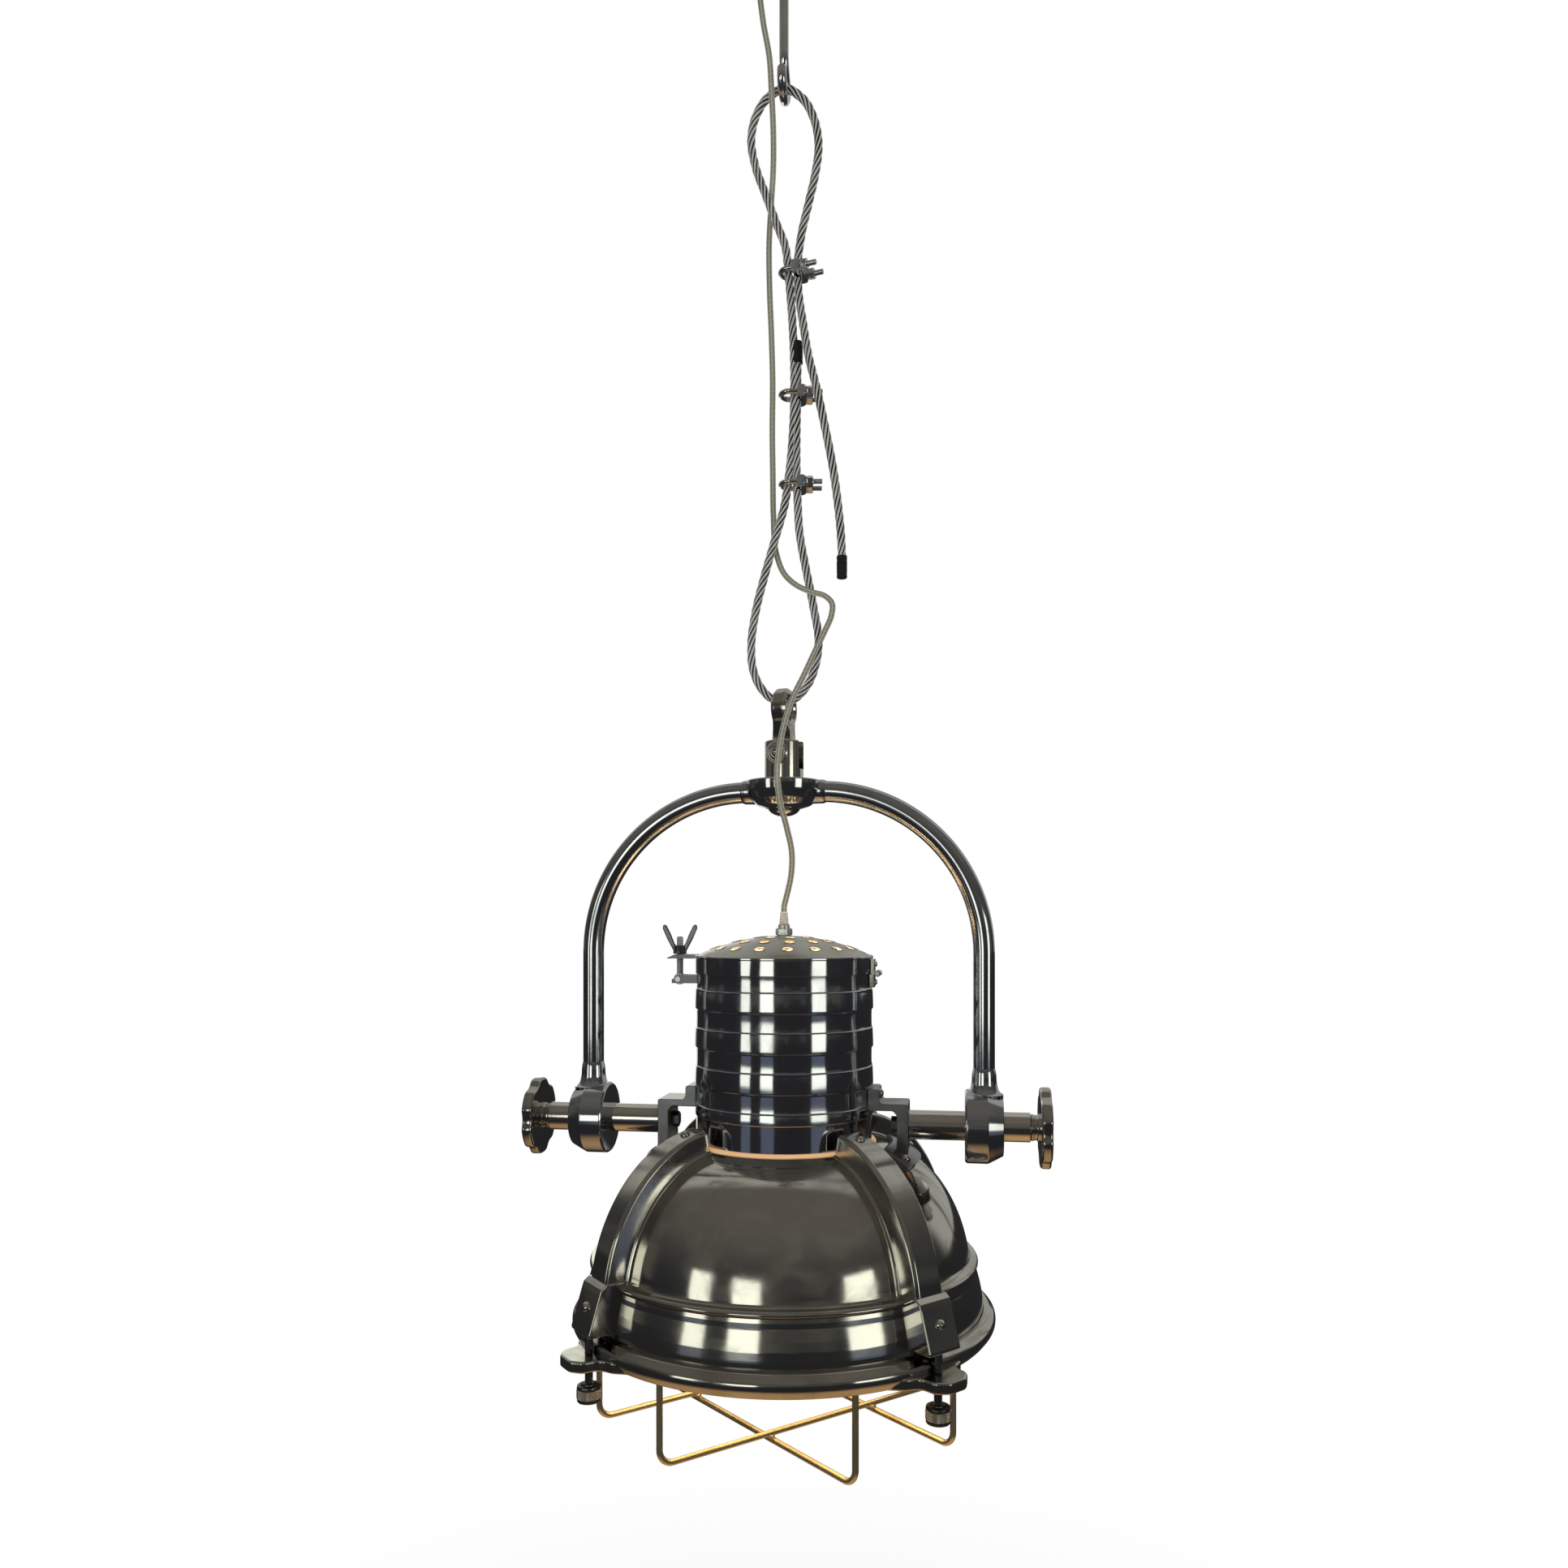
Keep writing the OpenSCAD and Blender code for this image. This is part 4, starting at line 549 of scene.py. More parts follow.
steel = add(tree, "ShaderNodeBsdfPrincipled", {"Base Color": colour.outputs[2], "Metallic": 0.25,
    "Roughness": dull.outputs[0], "Normal": ridge.outputs[0]})
add(tree, "ShaderNodeOutputMaterial", {"Surface": steel.outputs[0]})
print("wire rope finish ready")

# %% [markdown]
# The power cord is a clear flat twin flex: two stranded copper cores, tinned, side by side in
# soft see-through PVC. The cores show through as two greyish lines with a paler web between.
# The PVC has yellowed slightly. It is drawn as glossy plastic whose colour crosses the cord.

# %% Clear flex finish
flex = bpy.data.materials.new("clear PVC over tinned copper strands")
flex.use_nodes = True
tree = flex.node_tree
tree.nodes.clear()
across = add(tree, "ShaderNodeAttribute", attribute_name="across").outputs["Fac"]
along = add(tree, "ShaderNodeAttribute", attribute_name="along").outputs["Fac"]
core = add(tree, "ShaderNodeMath", {0: across}, operation="ABSOLUTE")
core = add(tree, "ShaderNodeMath", {0: core.outputs[0], 1: 0.5}, operation="SUBTRACT")
core = add(tree, "ShaderNodeMath", {0: core.outputs[0]}, operation="ABSOLUTE")
strand = add(tree, "ShaderNodeMapRange", {"Value": core.outputs[0], "From Min": 0.16,
    "From Max": 0.36, "To Min": 1.0, "To Max": 0.0}, interpolation_type="SMOOTHSTEP")
lay = add(tree, "ShaderNodeMath", {0: along, 1: 1300.0, 2: across}, operation="MULTIPLY_ADD")
lay = add(tree, "ShaderNodeMath", {0: lay.outputs[0]}, operation="SINE")
lay = add(tree, "ShaderNodeMapRange", {"Value": lay.outputs[0], "From Min": -1.0,
    "From Max": 1.0, "To Min": 0.25, "To Max": 0.75})
copper = add(tree, "ShaderNodeMix", {0: lay.outputs[0], 6: ink("#87867a"), 7: ink("#b4b3a4")},
    data_type="RGBA")
colour = add(tree, "ShaderNodeMix", {0: strand.outputs[0], 6: ink("#d8d6c8"),
    7: copper.outputs[2]}, data_type="RGBA")
plastic = add(tree, "ShaderNodeBsdfPrincipled", {"Base Color": colour.outputs[2],
    "Roughness": 0.22, "Coat Weight": 0.6, "Coat Roughness": 0.08})
plastic.inputs["IOR"].default_value = 1.53
add(tree, "ShaderNodeOutputMaterial", {"Surface": plastic.outputs[0]})
print("clear flex ready")

# %% [markdown]
# Rubber, nylon, porcelain and enamel share one plain build: a base colour that drifts a little,
# a moulded or glazed sheen, and a fine grain in the surface. Its emission is the bulb's own
# light, and on the enamel, the seal tape and the inside of the chimney it is a painted glow.

# %% Moulded and glazed finishes
# lit is an emission strength: the bulb's real light, and a painted glow on parts that are no lamp
def moulded(name, light, dark, rough, grain_mm, grain, coat=0.0, lit=0.0, light_colour="#ffd9a0"):
    finish = bpy.data.materials.new(name)
    finish.use_nodes = True
    tree = finish.node_tree
    tree.nodes.clear()
    here = add(tree, "ShaderNodeTexCoord").outputs["Object"]
    drift = add(tree, "ShaderNodeTexNoise", {"Vector": here, "Scale": 40.0, "Detail": 4.0})
    tint = add(tree, "ShaderNodeMix", {0: drift.outputs[0], 6: ink(dark), 7: ink(light)},
        data_type="RGBA")
    fine = add(tree, "ShaderNodeTexNoise", {"Vector": here, "Scale": 1000 / grain_mm,
        "Detail": 2.0})
    skin_bump = add(tree, "ShaderNodeBump", {"Height": fine.outputs[0], "Strength": grain,
        "Distance": 0.0001})
    uneven = add(tree, "ShaderNodeMapRange", {"Value": drift.outputs[0], "To Min": rough - 0.06,
        "To Max": rough + 0.08})
    body = add(tree, "ShaderNodeBsdfPrincipled", {"Base Color": tint.outputs[2],
        "Roughness": uneven.outputs[0], "Normal": skin_bump.outputs[0], "Coat Weight": coat,
        "Emission Color": ink(light_colour), "Emission Strength": lit})
    add(tree, "ShaderNodeOutputMaterial", {"Surface": body.outputs[0]})
    return finish


rubber = moulded("EPDM rubber, moulded", "#26262a", "#17171a", 0.5, 0.6, 0.6)
nylon = moulded("nylon, moulded", "#f1efe8", "#e2dfd5", 0.4, 0.8, 0.2)
porcelain = moulded("porcelain, glazed", "#f2f0ea", "#e6e2d8", 0.16, 3.0, 0.1, 0.6)
# painted glow: the reflector glows by emission, standing in for the bulb's light on it
enamel = moulded("white vitreous enamel, lit by the bulb", "#fbf6ea", "#efe8d8", 0.3, 2.0, 0.15,
    0.3, 1.1)
lead_skin = moulded("black rubber flex", "#2a2a2c", "#1b1b1d", 0.45, 0.8, 0.4)
print("moulded finishes ready")

# %% [markdown]
# ## Wire rope
# One eight millimetre rope makes both loops. It hangs from the ceiling hook, runs down through
# the three clips, goes round through the hanging eye and comes back up into the two lower clips.
# The other end leaves the top clip and hangs beside the loop. The outline is six strands in a
# ring, carried along the route and twisted by one turn every 56 mm. The route repeats the CAD
# model's points.

# %% Wire rope
ROPE = 8.0
rope_line = run([(13, 0, 732), (13, 0, 588), (15, 0, 556), (20.5, 0, 525), (28, 0, 487),
    (33, 0, 452), (30, 0, 431), (22.5, 0, 413), (12, 0, 401.5), (0, 0, 396.5), (-12, 0, 401),
    (-22.5, 0, 412), (-30, 0, 430), (-31.5, 0, 450), (-27, 0, 485), (-18, 0, 520), (-8, 0, 554),
    (1, 0, 586), (4, 0, 606), (4, 0, 806), (1.5, 0, 828), (-7, 0, 851), (-18, 0, 881),
    (-27.5, 0, 908), (-31.5, 0, 933), (-27.5, 0, 954), (-17, 0, 970.5), (0, 0, 979),
    (17, 0, 968.5), (28.5, 0, 948), (33, 0, 922), (30, 0, 896), (23.5, 0, 868), (16.5, 0, 838),
    (13, 0, 808), (14, -1, 785), (18.5, -4, 755), (25, -10, 718), (32.5, -15, 688),
    (40, -13, 653), (47, -9, 617), (52, -6, 580), (55, -4, 545), (55.5, -4, 532),
    (55.5, -4, 518)], 1.7)
strand_r = ROPE / 6
ring_r = ROPE / 2 - strand_r
strands, depth = [], []
for k in range(42):
    t = (k % 7 - 3) / 7 * math.pi / 3
    reach = ring_r * math.cos(t) + math.sqrt(max(0, (strand_r * 1.02) ** 2
        - (ring_r * math.sin(t)) ** 2))
    a = (k // 7) * math.pi / 3 + t
    strands.append((reach * math.cos(a), reach * math.sin(a)))
    depth.append((ROPE / 2 - reach) / (ROPE / 2 - 2.45))
twist = [2 * math.pi * 1.7 * i / 56 for i in range(len(rope_line))]
wire = carry(rope_line, strands, (0, 1, 0), twist=twist)
turns = [((k / 42) + twist[i] / (2 * math.pi)) % 1 for i in range(len(rope_line))
    for k in range(42)]
rope = piece("wire_rope_laid", wire, rope_finish, "root", "wire_rope", sharp=80, marks={
    "groove": depth * len(rope_line), "around": turns,
    "along": [i * 0.0017 for i in range(len(rope_line)) for k in range(42)]})

# %% Rope end caps
cap_outline = rounded([(0, 0, 0), (4.9, 0, 1.2), (4.9, 3.2, 0.4), (4.6, 4, 0.4), (4.9, 4.8, 0.4),
    (4.95, 16, 0.4), (4.65, 17, 0.4), (4.95, 18, 0.4), (4.95, 21, 1.0), (4.1, 21, 0.3),
    (4.1, 19, 0.3), (0, 18.6, 0)], 3)
cap_up = piece("rope_cap_upper", moved(lathe(cap_outline, 40), Matrix.Translation((13, 0, 738))
    @ Matrix.Rotation(math.pi, 4, "X")), rubber, "root", "rope_end_caps")
cap_low = piece("rope_cap_lower", moved(lathe(cap_outline, 40),
    Matrix.Translation((55.5, -4, 511))), rubber, "root", "rope_end_caps")

# %% [markdown]
# ## Power cord
# The flex comes out of the rose's nylon grip, strays down beside the rope, swings out once in a
# lazy bow, and goes down past the swivel to the gland on the lid. It crosses three joints, so it
# is made as three pieces: ceiling to stem, stem to bow, and bow to lamp. Its outline is two
# round cores with a waist between them.

# %% Power cord
cord_line = run([(-24, 0, 1094), (-24, 0, 1082), (-20, -2, 1045), (-13, -6, 1005),
    (-10.5, -9, 970), (-9, -8, 935), (-10, -2, 902), (-13.5, 7, 873), (-15.5, 8, 841),
    (-15, 7, 795), (-13, 6, 749), (-12, 7, 704), (-12.5, 8, 659), (-12, 8, 616),
    (-11.5, 8.5, 578), (-8.5, 7.5, 541), (-1, 4, 521), (12, -3, 507), (28, -9, 498),
    (40, -11, 493.5), (47, -13, 486), (47, -16, 474), (41.5, -20, 459), (33, -26, 439),
    (23, -32, 415), (14, -37, 395), (7, -40, 373), (2, -42, 347), (0, -42, 320), (2, -38, 299),
    (6.5, -28, 277), (9.5, -14, 253), (7.5, -5, 233), (2, -0.7, 211), (0, 0, 203),
    (0, 0, 198.4)], 2.5)
twin = []
for k in range(24):
    a = 2 * math.pi * k / 24
    x = 2.8 * math.cos(a)
    half = math.sqrt(max(0, 1.4 ** 2 - (abs(x) - 1.4) ** 2))
    twin.append((x, math.copysign(max(half, 0.95 if abs(x) < 1.0 else 0), math.sin(a) or 1)))
wide = Vector((1, 0, 0))
splits = [min(range(len(cord_line)), key=lambda i: abs(cord_line[i].z - z) + (
    0 if i > len(cord_line) * 0.55 else 900)) for z in (420, 330)]
bounds = [0, *splits, len(cord_line) - 1]
for number, (name, first, second) in enumerate((("cord_from_rose", "root", "stem"),
        ("cord_past_swivel", "stem", "bow"), ("cord_to_gland", "bow", "lamp"))):
    a, b = bounds[number], bounds[number + 1]
    stretch = cord_line[a:b + 1]
    half = carry(stretch, twin, wide)
    end = half[0][-24:]
    wide = (end[0] - end[12]).normalized()
    tube = piece(name, half, flex, None, "power_cord", sharp=80, marks={
        "across": [p[0] / 2.8 for p in twin] * len(stretch),
        "along": [(a + i) * 0.0025 for i in range(len(stretch)) for k in range(24)]})
    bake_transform(tube)
print("cord", round(length(cord_line) / 1000, 3), "m in three stretches")
# %% [markdown]
# ## Fasteners and other repeats
# Screws, nuts, weld beads and air holes repeat by rule, so Geometry Nodes make them. The first
# tree copies a part onto places, each with its own aim. The result is kept as a plain mesh.

# %% Tree helpers
def tree_with(name, *inputs):
    """A node tree with a geometry output and named inputs as (name, kind, value)."""
    made = bpy.data.node_groups.new(name, "GeometryNodeTree")
    for label, kind, value in inputs:
        socket = made.interface.new_socket(label, in_out="INPUT", socket_type=kind)
        if value is not None:
            socket.default_value = value
    made.interface.new_socket("Geometry", in_out="OUTPUT", socket_type="NodeSocketGeometry")
    return made, made.nodes.new("NodeGroupInput").outputs


def close(made, geometry, finish):
    """Ends a tree in Realize Instances and Set Material."""
    real = add(made, "GeometryNodeRealizeInstances", {"Geometry": geometry})
    coat = add(made, "GeometryNodeSetMaterial", {"Geometry": real.outputs[0],
        "Material": finish})
    add(made, "NodeGroupOutput", {0: coat.outputs[0]})


def grown(made, start=None, **values):
    """What the tree makes of a start mesh, as a plain mesh in the frame's metres."""
    seed = bpy.data.objects.new("seed", start or bpy.data.meshes.new("seed"))
    bpy.context.scene.collection.objects.link(seed)
    step = seed.modifiers.new("grow", "NODES")
    step.node_group = made
    for item in made.interface.items_tree:
        if item.in_out == "INPUT" and item.name in values:
            step[item.identifier] = values[item.name]
    seen = seed.evaluated_get(bpy.context.evaluated_depsgraph_get())
    result = bpy.data.meshes.new_from_object(seen)
    bpy.data.objects.remove(seed)
    return result


def flat_mesh(name, shape):
    """A shape as a mesh about its own origin, in metres."""
    mesh = bpy.data.meshes.new(name)
    mesh.from_pydata([Vector(p) * 0.001 for p in shape[0]], [], shape[1])
    loose = bmesh.new()
    loose.from_mesh(mesh)
    bmesh.ops.recalc_face_normals(loose, faces=loose.faces)
    loose.to_mesh(mesh)
    loose.free()
    return mesh


def cut(shape, *tools):
    """A shape with other closed shapes taken out of it."""
    whole = bpy.data.objects.new("whole", flat_mesh("whole", shape))
    knife = bpy.data.objects.new("knife", flat_mesh("knife", joined(*tools)))
    for thing in (whole, knife):
        bpy.context.scene.collection.objects.link(thing)
    step = whole.modifiers.new("cut", "BOOLEAN")
    step.operation, step.solver, step.object = "DIFFERENCE", "EXACT", knife
    seen = whole.evaluated_get(bpy.context.evaluated_depsgraph_get())
    mesh = bpy.data.meshes.new_from_object(seen)
    shape = [v.co * 1000 for v in mesh.vertices], [tuple(p.vertices) for p in mesh.polygons]
    for thing in (whole, knife):
        bpy.data.objects.remove(thing)
    return shape


# %% Copies on places
copies, got = tree_with("copies on places", ("Places", "NodeSocketGeometry", None),
    ("Part", "NodeSocketObject", None), ("Finish", "NodeSocketMaterial", None),
    ("Size", "NodeSocketFloat", 1.0))
part = add(copies, "GeometryNodeObjectInfo", {"Object": got["Part"]})
aim = add(copies, "GeometryNodeInputNamedAttribute", {"Name": "aim"}, data_type="FLOAT_VECTOR")
aimed = add(copies, "FunctionNodeEulerToRotation", {0: aim.outputs[0]})
placed = add(copies, "GeometryNodeInstanceOnPoints", {"Points": got["Places"],
    "Instance": part.outputs["Geometry"], "Rotation": aimed.outputs[0], "Scale": got["Size"]})
close(copies, placed.outputs[0], got["Finish"])


def copied(name, shape, places, finish, body, *nodes, sharp=34):
    """One piece of many copies. places are (point, aim, spin in degrees)."""
    model = bpy.data.objects.new("model", flat_mesh("model", shape))
    bpy.context.scene.collection.objects.link(model)
    dots = bpy.data.meshes.new("places")
    dots.from_pydata([at(*p) for p, aim, spin in places], [], [])
    angles = []
    for p, aim, spin in places:
        lay = Vector((0, 0, 1)).rotation_difference(Vector(aim)).to_matrix()
        angles += (lay @ Matrix.Rotation(math.radians(spin), 3, "Z")).to_euler()[:]
    dots.attributes.new("aim", "FLOAT_VECTOR", "POINT").data.foreach_set("vector", angles)
    mesh = grown(copies, dots, Part=model, Finish=finish, Size=1.0)
    bpy.data.objects.remove(model)
    mesh.name = name
    return settle(name, mesh, finish, body, *nodes, sharp=sharp)


print("trees ready")


# %% Screw and nut
def nut(flats, high, bore):
    """A hexagon nut with its corners turned off, standing on z = 0."""
    rings = []
    for z, reach in ((0, 0.97), (0.14 * flats / 2, 1.2), (high - 0.14 * flats / 2, 1.2),
            (high, 0.97)):
        ring = []
        for k in range(24):
            a = math.radians(15 * k)
            hexagon = flats / 2 / math.cos((a % math.radians(60)) - math.radians(30))
            ring.append(Vector((math.cos(a), math.sin(a), 0)) * min(hexagon, reach * flats / 2)
                + Vector((0, 0, z)))
        rings.append(ring)
    for z in (high, 0):
        rings.append([spot(bore, 15 * k, z) for k in range(24)])
    return skin(rings, loop=True)


dome = [(0, -2.0), (4.5, -2.0), (4.5, 0.2)] + [(4.5 * math.cos(math.radians(a)), 0.2 + 3.1
    * math.sin(math.radians(a))) for a in (18, 36, 54, 70, 82)] + [(0, 3.3)]
slot_box = skin([[(-6, -0.55, z), (6, -0.55, z), (6, 0.55, z), (-6, 0.55, z)] for z in (1.9, 5)])
screw_head = cut(lathe(dome, 28), slot_box)
print("screw head of", len(screw_head[1]), "faces")

# %% [markdown]
# ## Rope clips
# Each clip is a U bolt through a cast saddle. The bolt goes round the standing rope, and two
# nuts draw the saddle onto the tail. The legs are threaded, with a pitch of 0.8 mm.

# %% Rope clips
CLIPS = ((803, -15), (688, 10), (603, 8))
bar = [(2.5 * math.cos(math.radians(a)), 2.5 * math.sin(math.radians(a)))
    for a in range(0, 360, 24)]
thread = [32.2 - 0.4 * k for k in range(38)]
u_path = [(x, -9, 0) for x in thread] + [(14, -9, 0), (8, -9, 0)] \
    + [(x, y, 0) for x, y in arc((2.2, 0), 9, -90, -270, 20)] \
    + [(8, 9, 0), (14, 9, 0)] + [(x, 9, 0) for x in reversed(thread)]
ripple = [0.72] + [1.0 if k % 2 else 0.87 for k in range(1, 38)]
u_bolt = carry(u_path, bar, (0, 0, 1), grow=ripple + [1.0] * 25 + ripple[::-1])
bolts, nut_places, saddles = [], [], []
saddle_plan = rounded([(8.4, -13, 0.6), (14.5, -13, 2), (17.5, -9, 3), (17.5, 9, 3),
    (14.5, 13, 2), (8.4, 13, 0.6), (8.4, 5, 1.0), (12.2, 3.6, 2.5), (12.2, -3.6, 2.5),
    (8.4, -5, 1.0)], 4)
for z, turn in CLIPS:
    place = put(4, 0, z, turn)
    bolts.append(moved(u_bolt, place))
    saddles.append(moved(slab(saddle_plan, -5.5, 5.5, 0.8), place))
    for y in (-9, 9):
        nut_places.append((place @ Vector((17.5, y, 0)), place.to_3x3() @ Vector((1, 0, 0)),
            12 * y + turn))
clip_bolts = piece("rope_clip_bolts", joined(*bolts), bright_zinc, "root", "clip_u_bolts", sharp=50)
clip_saddles = piece("rope_clip_saddles", joined(*saddles), bright_zinc, "root", "clip_saddles")
clip_nuts = copied("rope_clip_nuts", nut(9, 6, 2.45), nut_places, bright_zinc, "root", "clip_nuts",
    sharp=25)

# %% [markdown]
# ## Ceiling fitting
# A pressed rose covers the plate that is screwed to the ceiling. The rod of the hook comes down
# through it, a collar with a grub screw holds the rose up, and the flex leaves by a nylon grip.

# %% Ceiling fitting
rose_outline = rounded([(4.7, 1102, 0.4), (42, 1102, 5), (50, 1109, 7), (50, 1130, 0.5),
    (48, 1130, 0.5), (48, 1110, 5), (41, 1104, 3), (4.7, 1104, 0.4)], 6)
rose = piece("ceiling_rose_pressed", lathe(rose_outline, 128, loop=True), satin, "root",
    "ceiling_rose")
collar_outline = rounded([(4.6, 1094, 0.4), (8.6, 1094, 1.2), (9.5, 1096.5, 0.8),
    (9.5, 1101.6, 0.6), (4.6, 1101.6, 0.3)], 4)
collar = piece("rose_collar_turned", lathe(collar_outline, 64, loop=True), satin, "root",
    "rose_collar")
rod = [(4.5 * math.cos(math.radians(a)), 4.5 * math.sin(math.radians(a)))
    for a in range(0, 360, 15)]
hook_z = 984.3
hook_bend = [(0, y, hook_z + z) for y, z in arc((0, 0), 14, 56, -195, 30)]
hook_path = run([(0, 0, 1129), (0, 0, 1060), (0, 0, 1020), (0, 0.6, hook_z + 22),
    (0, 3.6, hook_z + 16)], 3) + [Vector(p) for p in hook_bend]
tip = [0.45, 0.8, 0.95]
hook = piece("ceiling_hook_bent", carry(hook_path + [hook_path[-1] + Vector((0, -0.4, 1.6)),
    hook_path[-1] + Vector((0, -0.5, 2.6)), hook_path[-1] + Vector((0, -0.6, 3.1))], rod,
    (1, 0, 0), grow=[1.0] * len(hook_path) + tip[::-1]), bright_zinc, "root", "ceiling_hook", sharp=60)

# %% [markdown]
# ## Hanging eye and swivel
# The eye is cast: a thick ring for the rope, with a neck that turns from the ring's width to the
# flat tongue below. The tongue sits in the slot of the stem on a bolt, and can rock there. The
# bolt's round head has turned grooves and a centre mark, which catch the light as rings.

# %% Hanging eye
EYE_TURN = -11.5
eye_ring = rounded([(10, -1.5, 1), (11.4, -5, 2), (13.6, -7.5, 2), (16.4, -7.5, 1.6),
    (19, -4.2, 2), (19, 4.2, 2), (16.4, 7.5, 1.6), (13.6, 7.5, 2), (11.4, 5, 2),
    (10, 1.5, 1)], 4)
ring = moved(lathe(eye_ring, 96, loop=True), put(0, 0, 391, tip=(1, 0, 0)))
neck = []
for z, x, y in ((352, 10, 6), (359, 10, 6), (364, 9.7, 6.3), (368, 9, 7.6), (371.5, 8, 9.8),
        (375, 7.2, 12.2), (378.5, 6.8, 13.6)):
    neck.append([(a, b, z) for a, b in rounded([(-x, -y, 1.4), (x, -y, 1.4), (x, y, 1.4),
        (-x, y, 1.4)], 3)])
heel = [(0, 0)]
tongue_face = [(x, z) for x, z in arc((0, 347), 10, 180, 360, 24)] + [(10, 354), (-10, 354)]
tongue = moved(slab(tongue_face, -6, 6, 1.0), Matrix.Rotation(math.pi / 2, 4, "X"))
eye = joined(ring, skin(neck), tongue)
piece("hanging_eye_cast", moved(eye, put(turn=EYE_TURN)), cast, "root", "hanging_eye", sharp=40)
print("tongue between", min(p.y for p in tongue[0]), max(p.y for p in tongue[0]))

# %% Swivel stem and bolt
stem_outline = rounded([(0, 322.9, 0), (18.5, 322.9, 1), (18.5, 360, 2.2), (0, 360, 0)], 5)
stud = lathe(rounded([(0, 300, 0), (7, 300, 1), (7, 324, 0.2), (0, 324, 0)], 3), 48)
slot = skin([[(-20, -6.4, z), (20, -6.4, z), (20, 6.4, z), (-20, 6.4, z)] for z in (333, 370)])
stem = joined(cut(lathe(stem_outline, 128), slot), stud)
piece("swivel_stem_turned", moved(stem, put(turn=EYE_TURN)), turned, "stem", "swivel_stem")
head = [(0, -26.5, 0), (3.6, -26.5, 0.3), (4, -25.8, 0.2), (4, 18.5, 0), (10.4, 18.5, 0.6),
    (10.75, 20.2, 0.6), (9.6, 21.4, 0.5), (8.4, 21.4, 0.2), (8.1, 20.9, 0.2), (7.3, 20.9, 0.2),
    (6.9, 22.2, 0.5), (5.4, 22.8, 0.3), (5.1, 22.3, 0.2), (4.4, 22.3, 0.2), (4.1, 23.6, 0.5),
    (2.2, 24.3, 0.4), (1.0, 23.6, 0.2), (0, 23.4, 0)]
bolt = moved(lathe(rounded(head, 3), 64), put(0, 0, 347, tip=(0, -1, 0)))
piece("eye_bolt_turned", moved(bolt, put(turn=EYE_TURN)), turned, "stem", "eye_bolt")

# %% [markdown]
# ## Bow
# The bow is tube bent to a half round, with its legs straight down. Its two arms are let into
# short sockets on a cast boss, which has an open bowl shape below and a cap over the swivel's
# nut. Each leg ends in a cast hub with a smooth neck. The hub is bored for the trunnion.

# %% Bow
tube = [(10 * math.cos(math.radians(a)), 10 * math.sin(math.radians(a)))
    for a in range(0, 360, 8)]
middle_x, side_z = 187 - 152, 160
over = math.degrees(math.asin((middle_x - 20) / 152))
bend = [(x, 0, z) for x, z in arc((middle_x, side_z), 152, 90 + over, 0, 64)]
leg = bend + [(187, 0, z) for z in (150, 130, 110, 90, 70, 50, 30)]
arm = carry(leg, tube, (0, 1, 0))
socket_path = [(x, 0, z) for x, z in arc((middle_x, side_z), 152, 90 + over, 88, 12)]
socket = carry(socket_path, tube, (0, 1, 0), grow=[1.13] * 11 + [1.1, 1.02])
neck_outline = [(0, 54), (9.9, 54), (10.5, 52.5), (11.2, 48)] + [(11.4 + 6.2 * (1 - math.cos(
    math.radians(a))), 45 - 15 * math.sin(math.radians(a))) for a in range(0, 91, 10)] \
    + [(17.6, 22), (0, 22)]
neck = moved(lathe(neck_outline, 64), put(187, 0, 0))
hub_outline = rounded([(13.55, 169.5, 0.3), (32.4, 169.5, 2), (34, 171.6, 1.6),
    (34, 190.5, 2.5), (31.2, 196, 4), (26.6, 204.5, 1.4), (13.55, 204.5, 0.3)], 5)
hub = moved(lathe(hub_outline, 128, loop=True), put(tip=(1, 0, 0)))
half_bow = joined(arm, socket, neck, hub)
other = moved(half_bow, Matrix.Diagonal((-1, 1, 1, 1)))
boss_outline = rounded([(7.1, 296.4, 0.3), (17, 296.4, 0.8), (25.5, 299, 9), (31.5, 304.6, 9),
    (35.3, 311.8, 8), (36, 318, 4), (36, 321.6, 1.2), (34.8, 322.5, 0.5), (7.1, 322.5, 0.3)], 6)
piece("bow_bent", joined(half_bow, other, lathe(boss_outline, 128, loop=True)), tube_finish, "bow",
    "bow", sharp=40)
cap_profile = rounded([(0, 288.9, 0), (8, 289.6, 14), (13.4, 292.6, 8), (15.5, 296, 2),
    (15.5, 297, 0.2), (0, 297, 0)], 6)
piece("boss_cap_spun", lathe(cap_profile, 96), spun, "bow", "boss_cap")

# %% [markdown]
# ## Trunnions and knobs
# The lamp tilts on two polished tubes that pass through the hubs. A scalloped cast knob on each
# end clamps the tilt through a turned spacer.

# %% Trunnions
trunnion_outline = rounded([(0, 118, 0), (13.5, 118, 0.5), (13.5, 229, 1), (5.1, 229, 0.3),
    (5.1, 206, 0), (0, 206, 0)], 4)
for name, side in (("left", -1), ("right", 1)):
    tube_shape = moved(lathe(trunnion_outline, 96), put(tip=(side, 0, 0)))
    piece(f"trunnion_{name}_turned", tube_shape, turned, "lamp", f"trunnion_{name}")

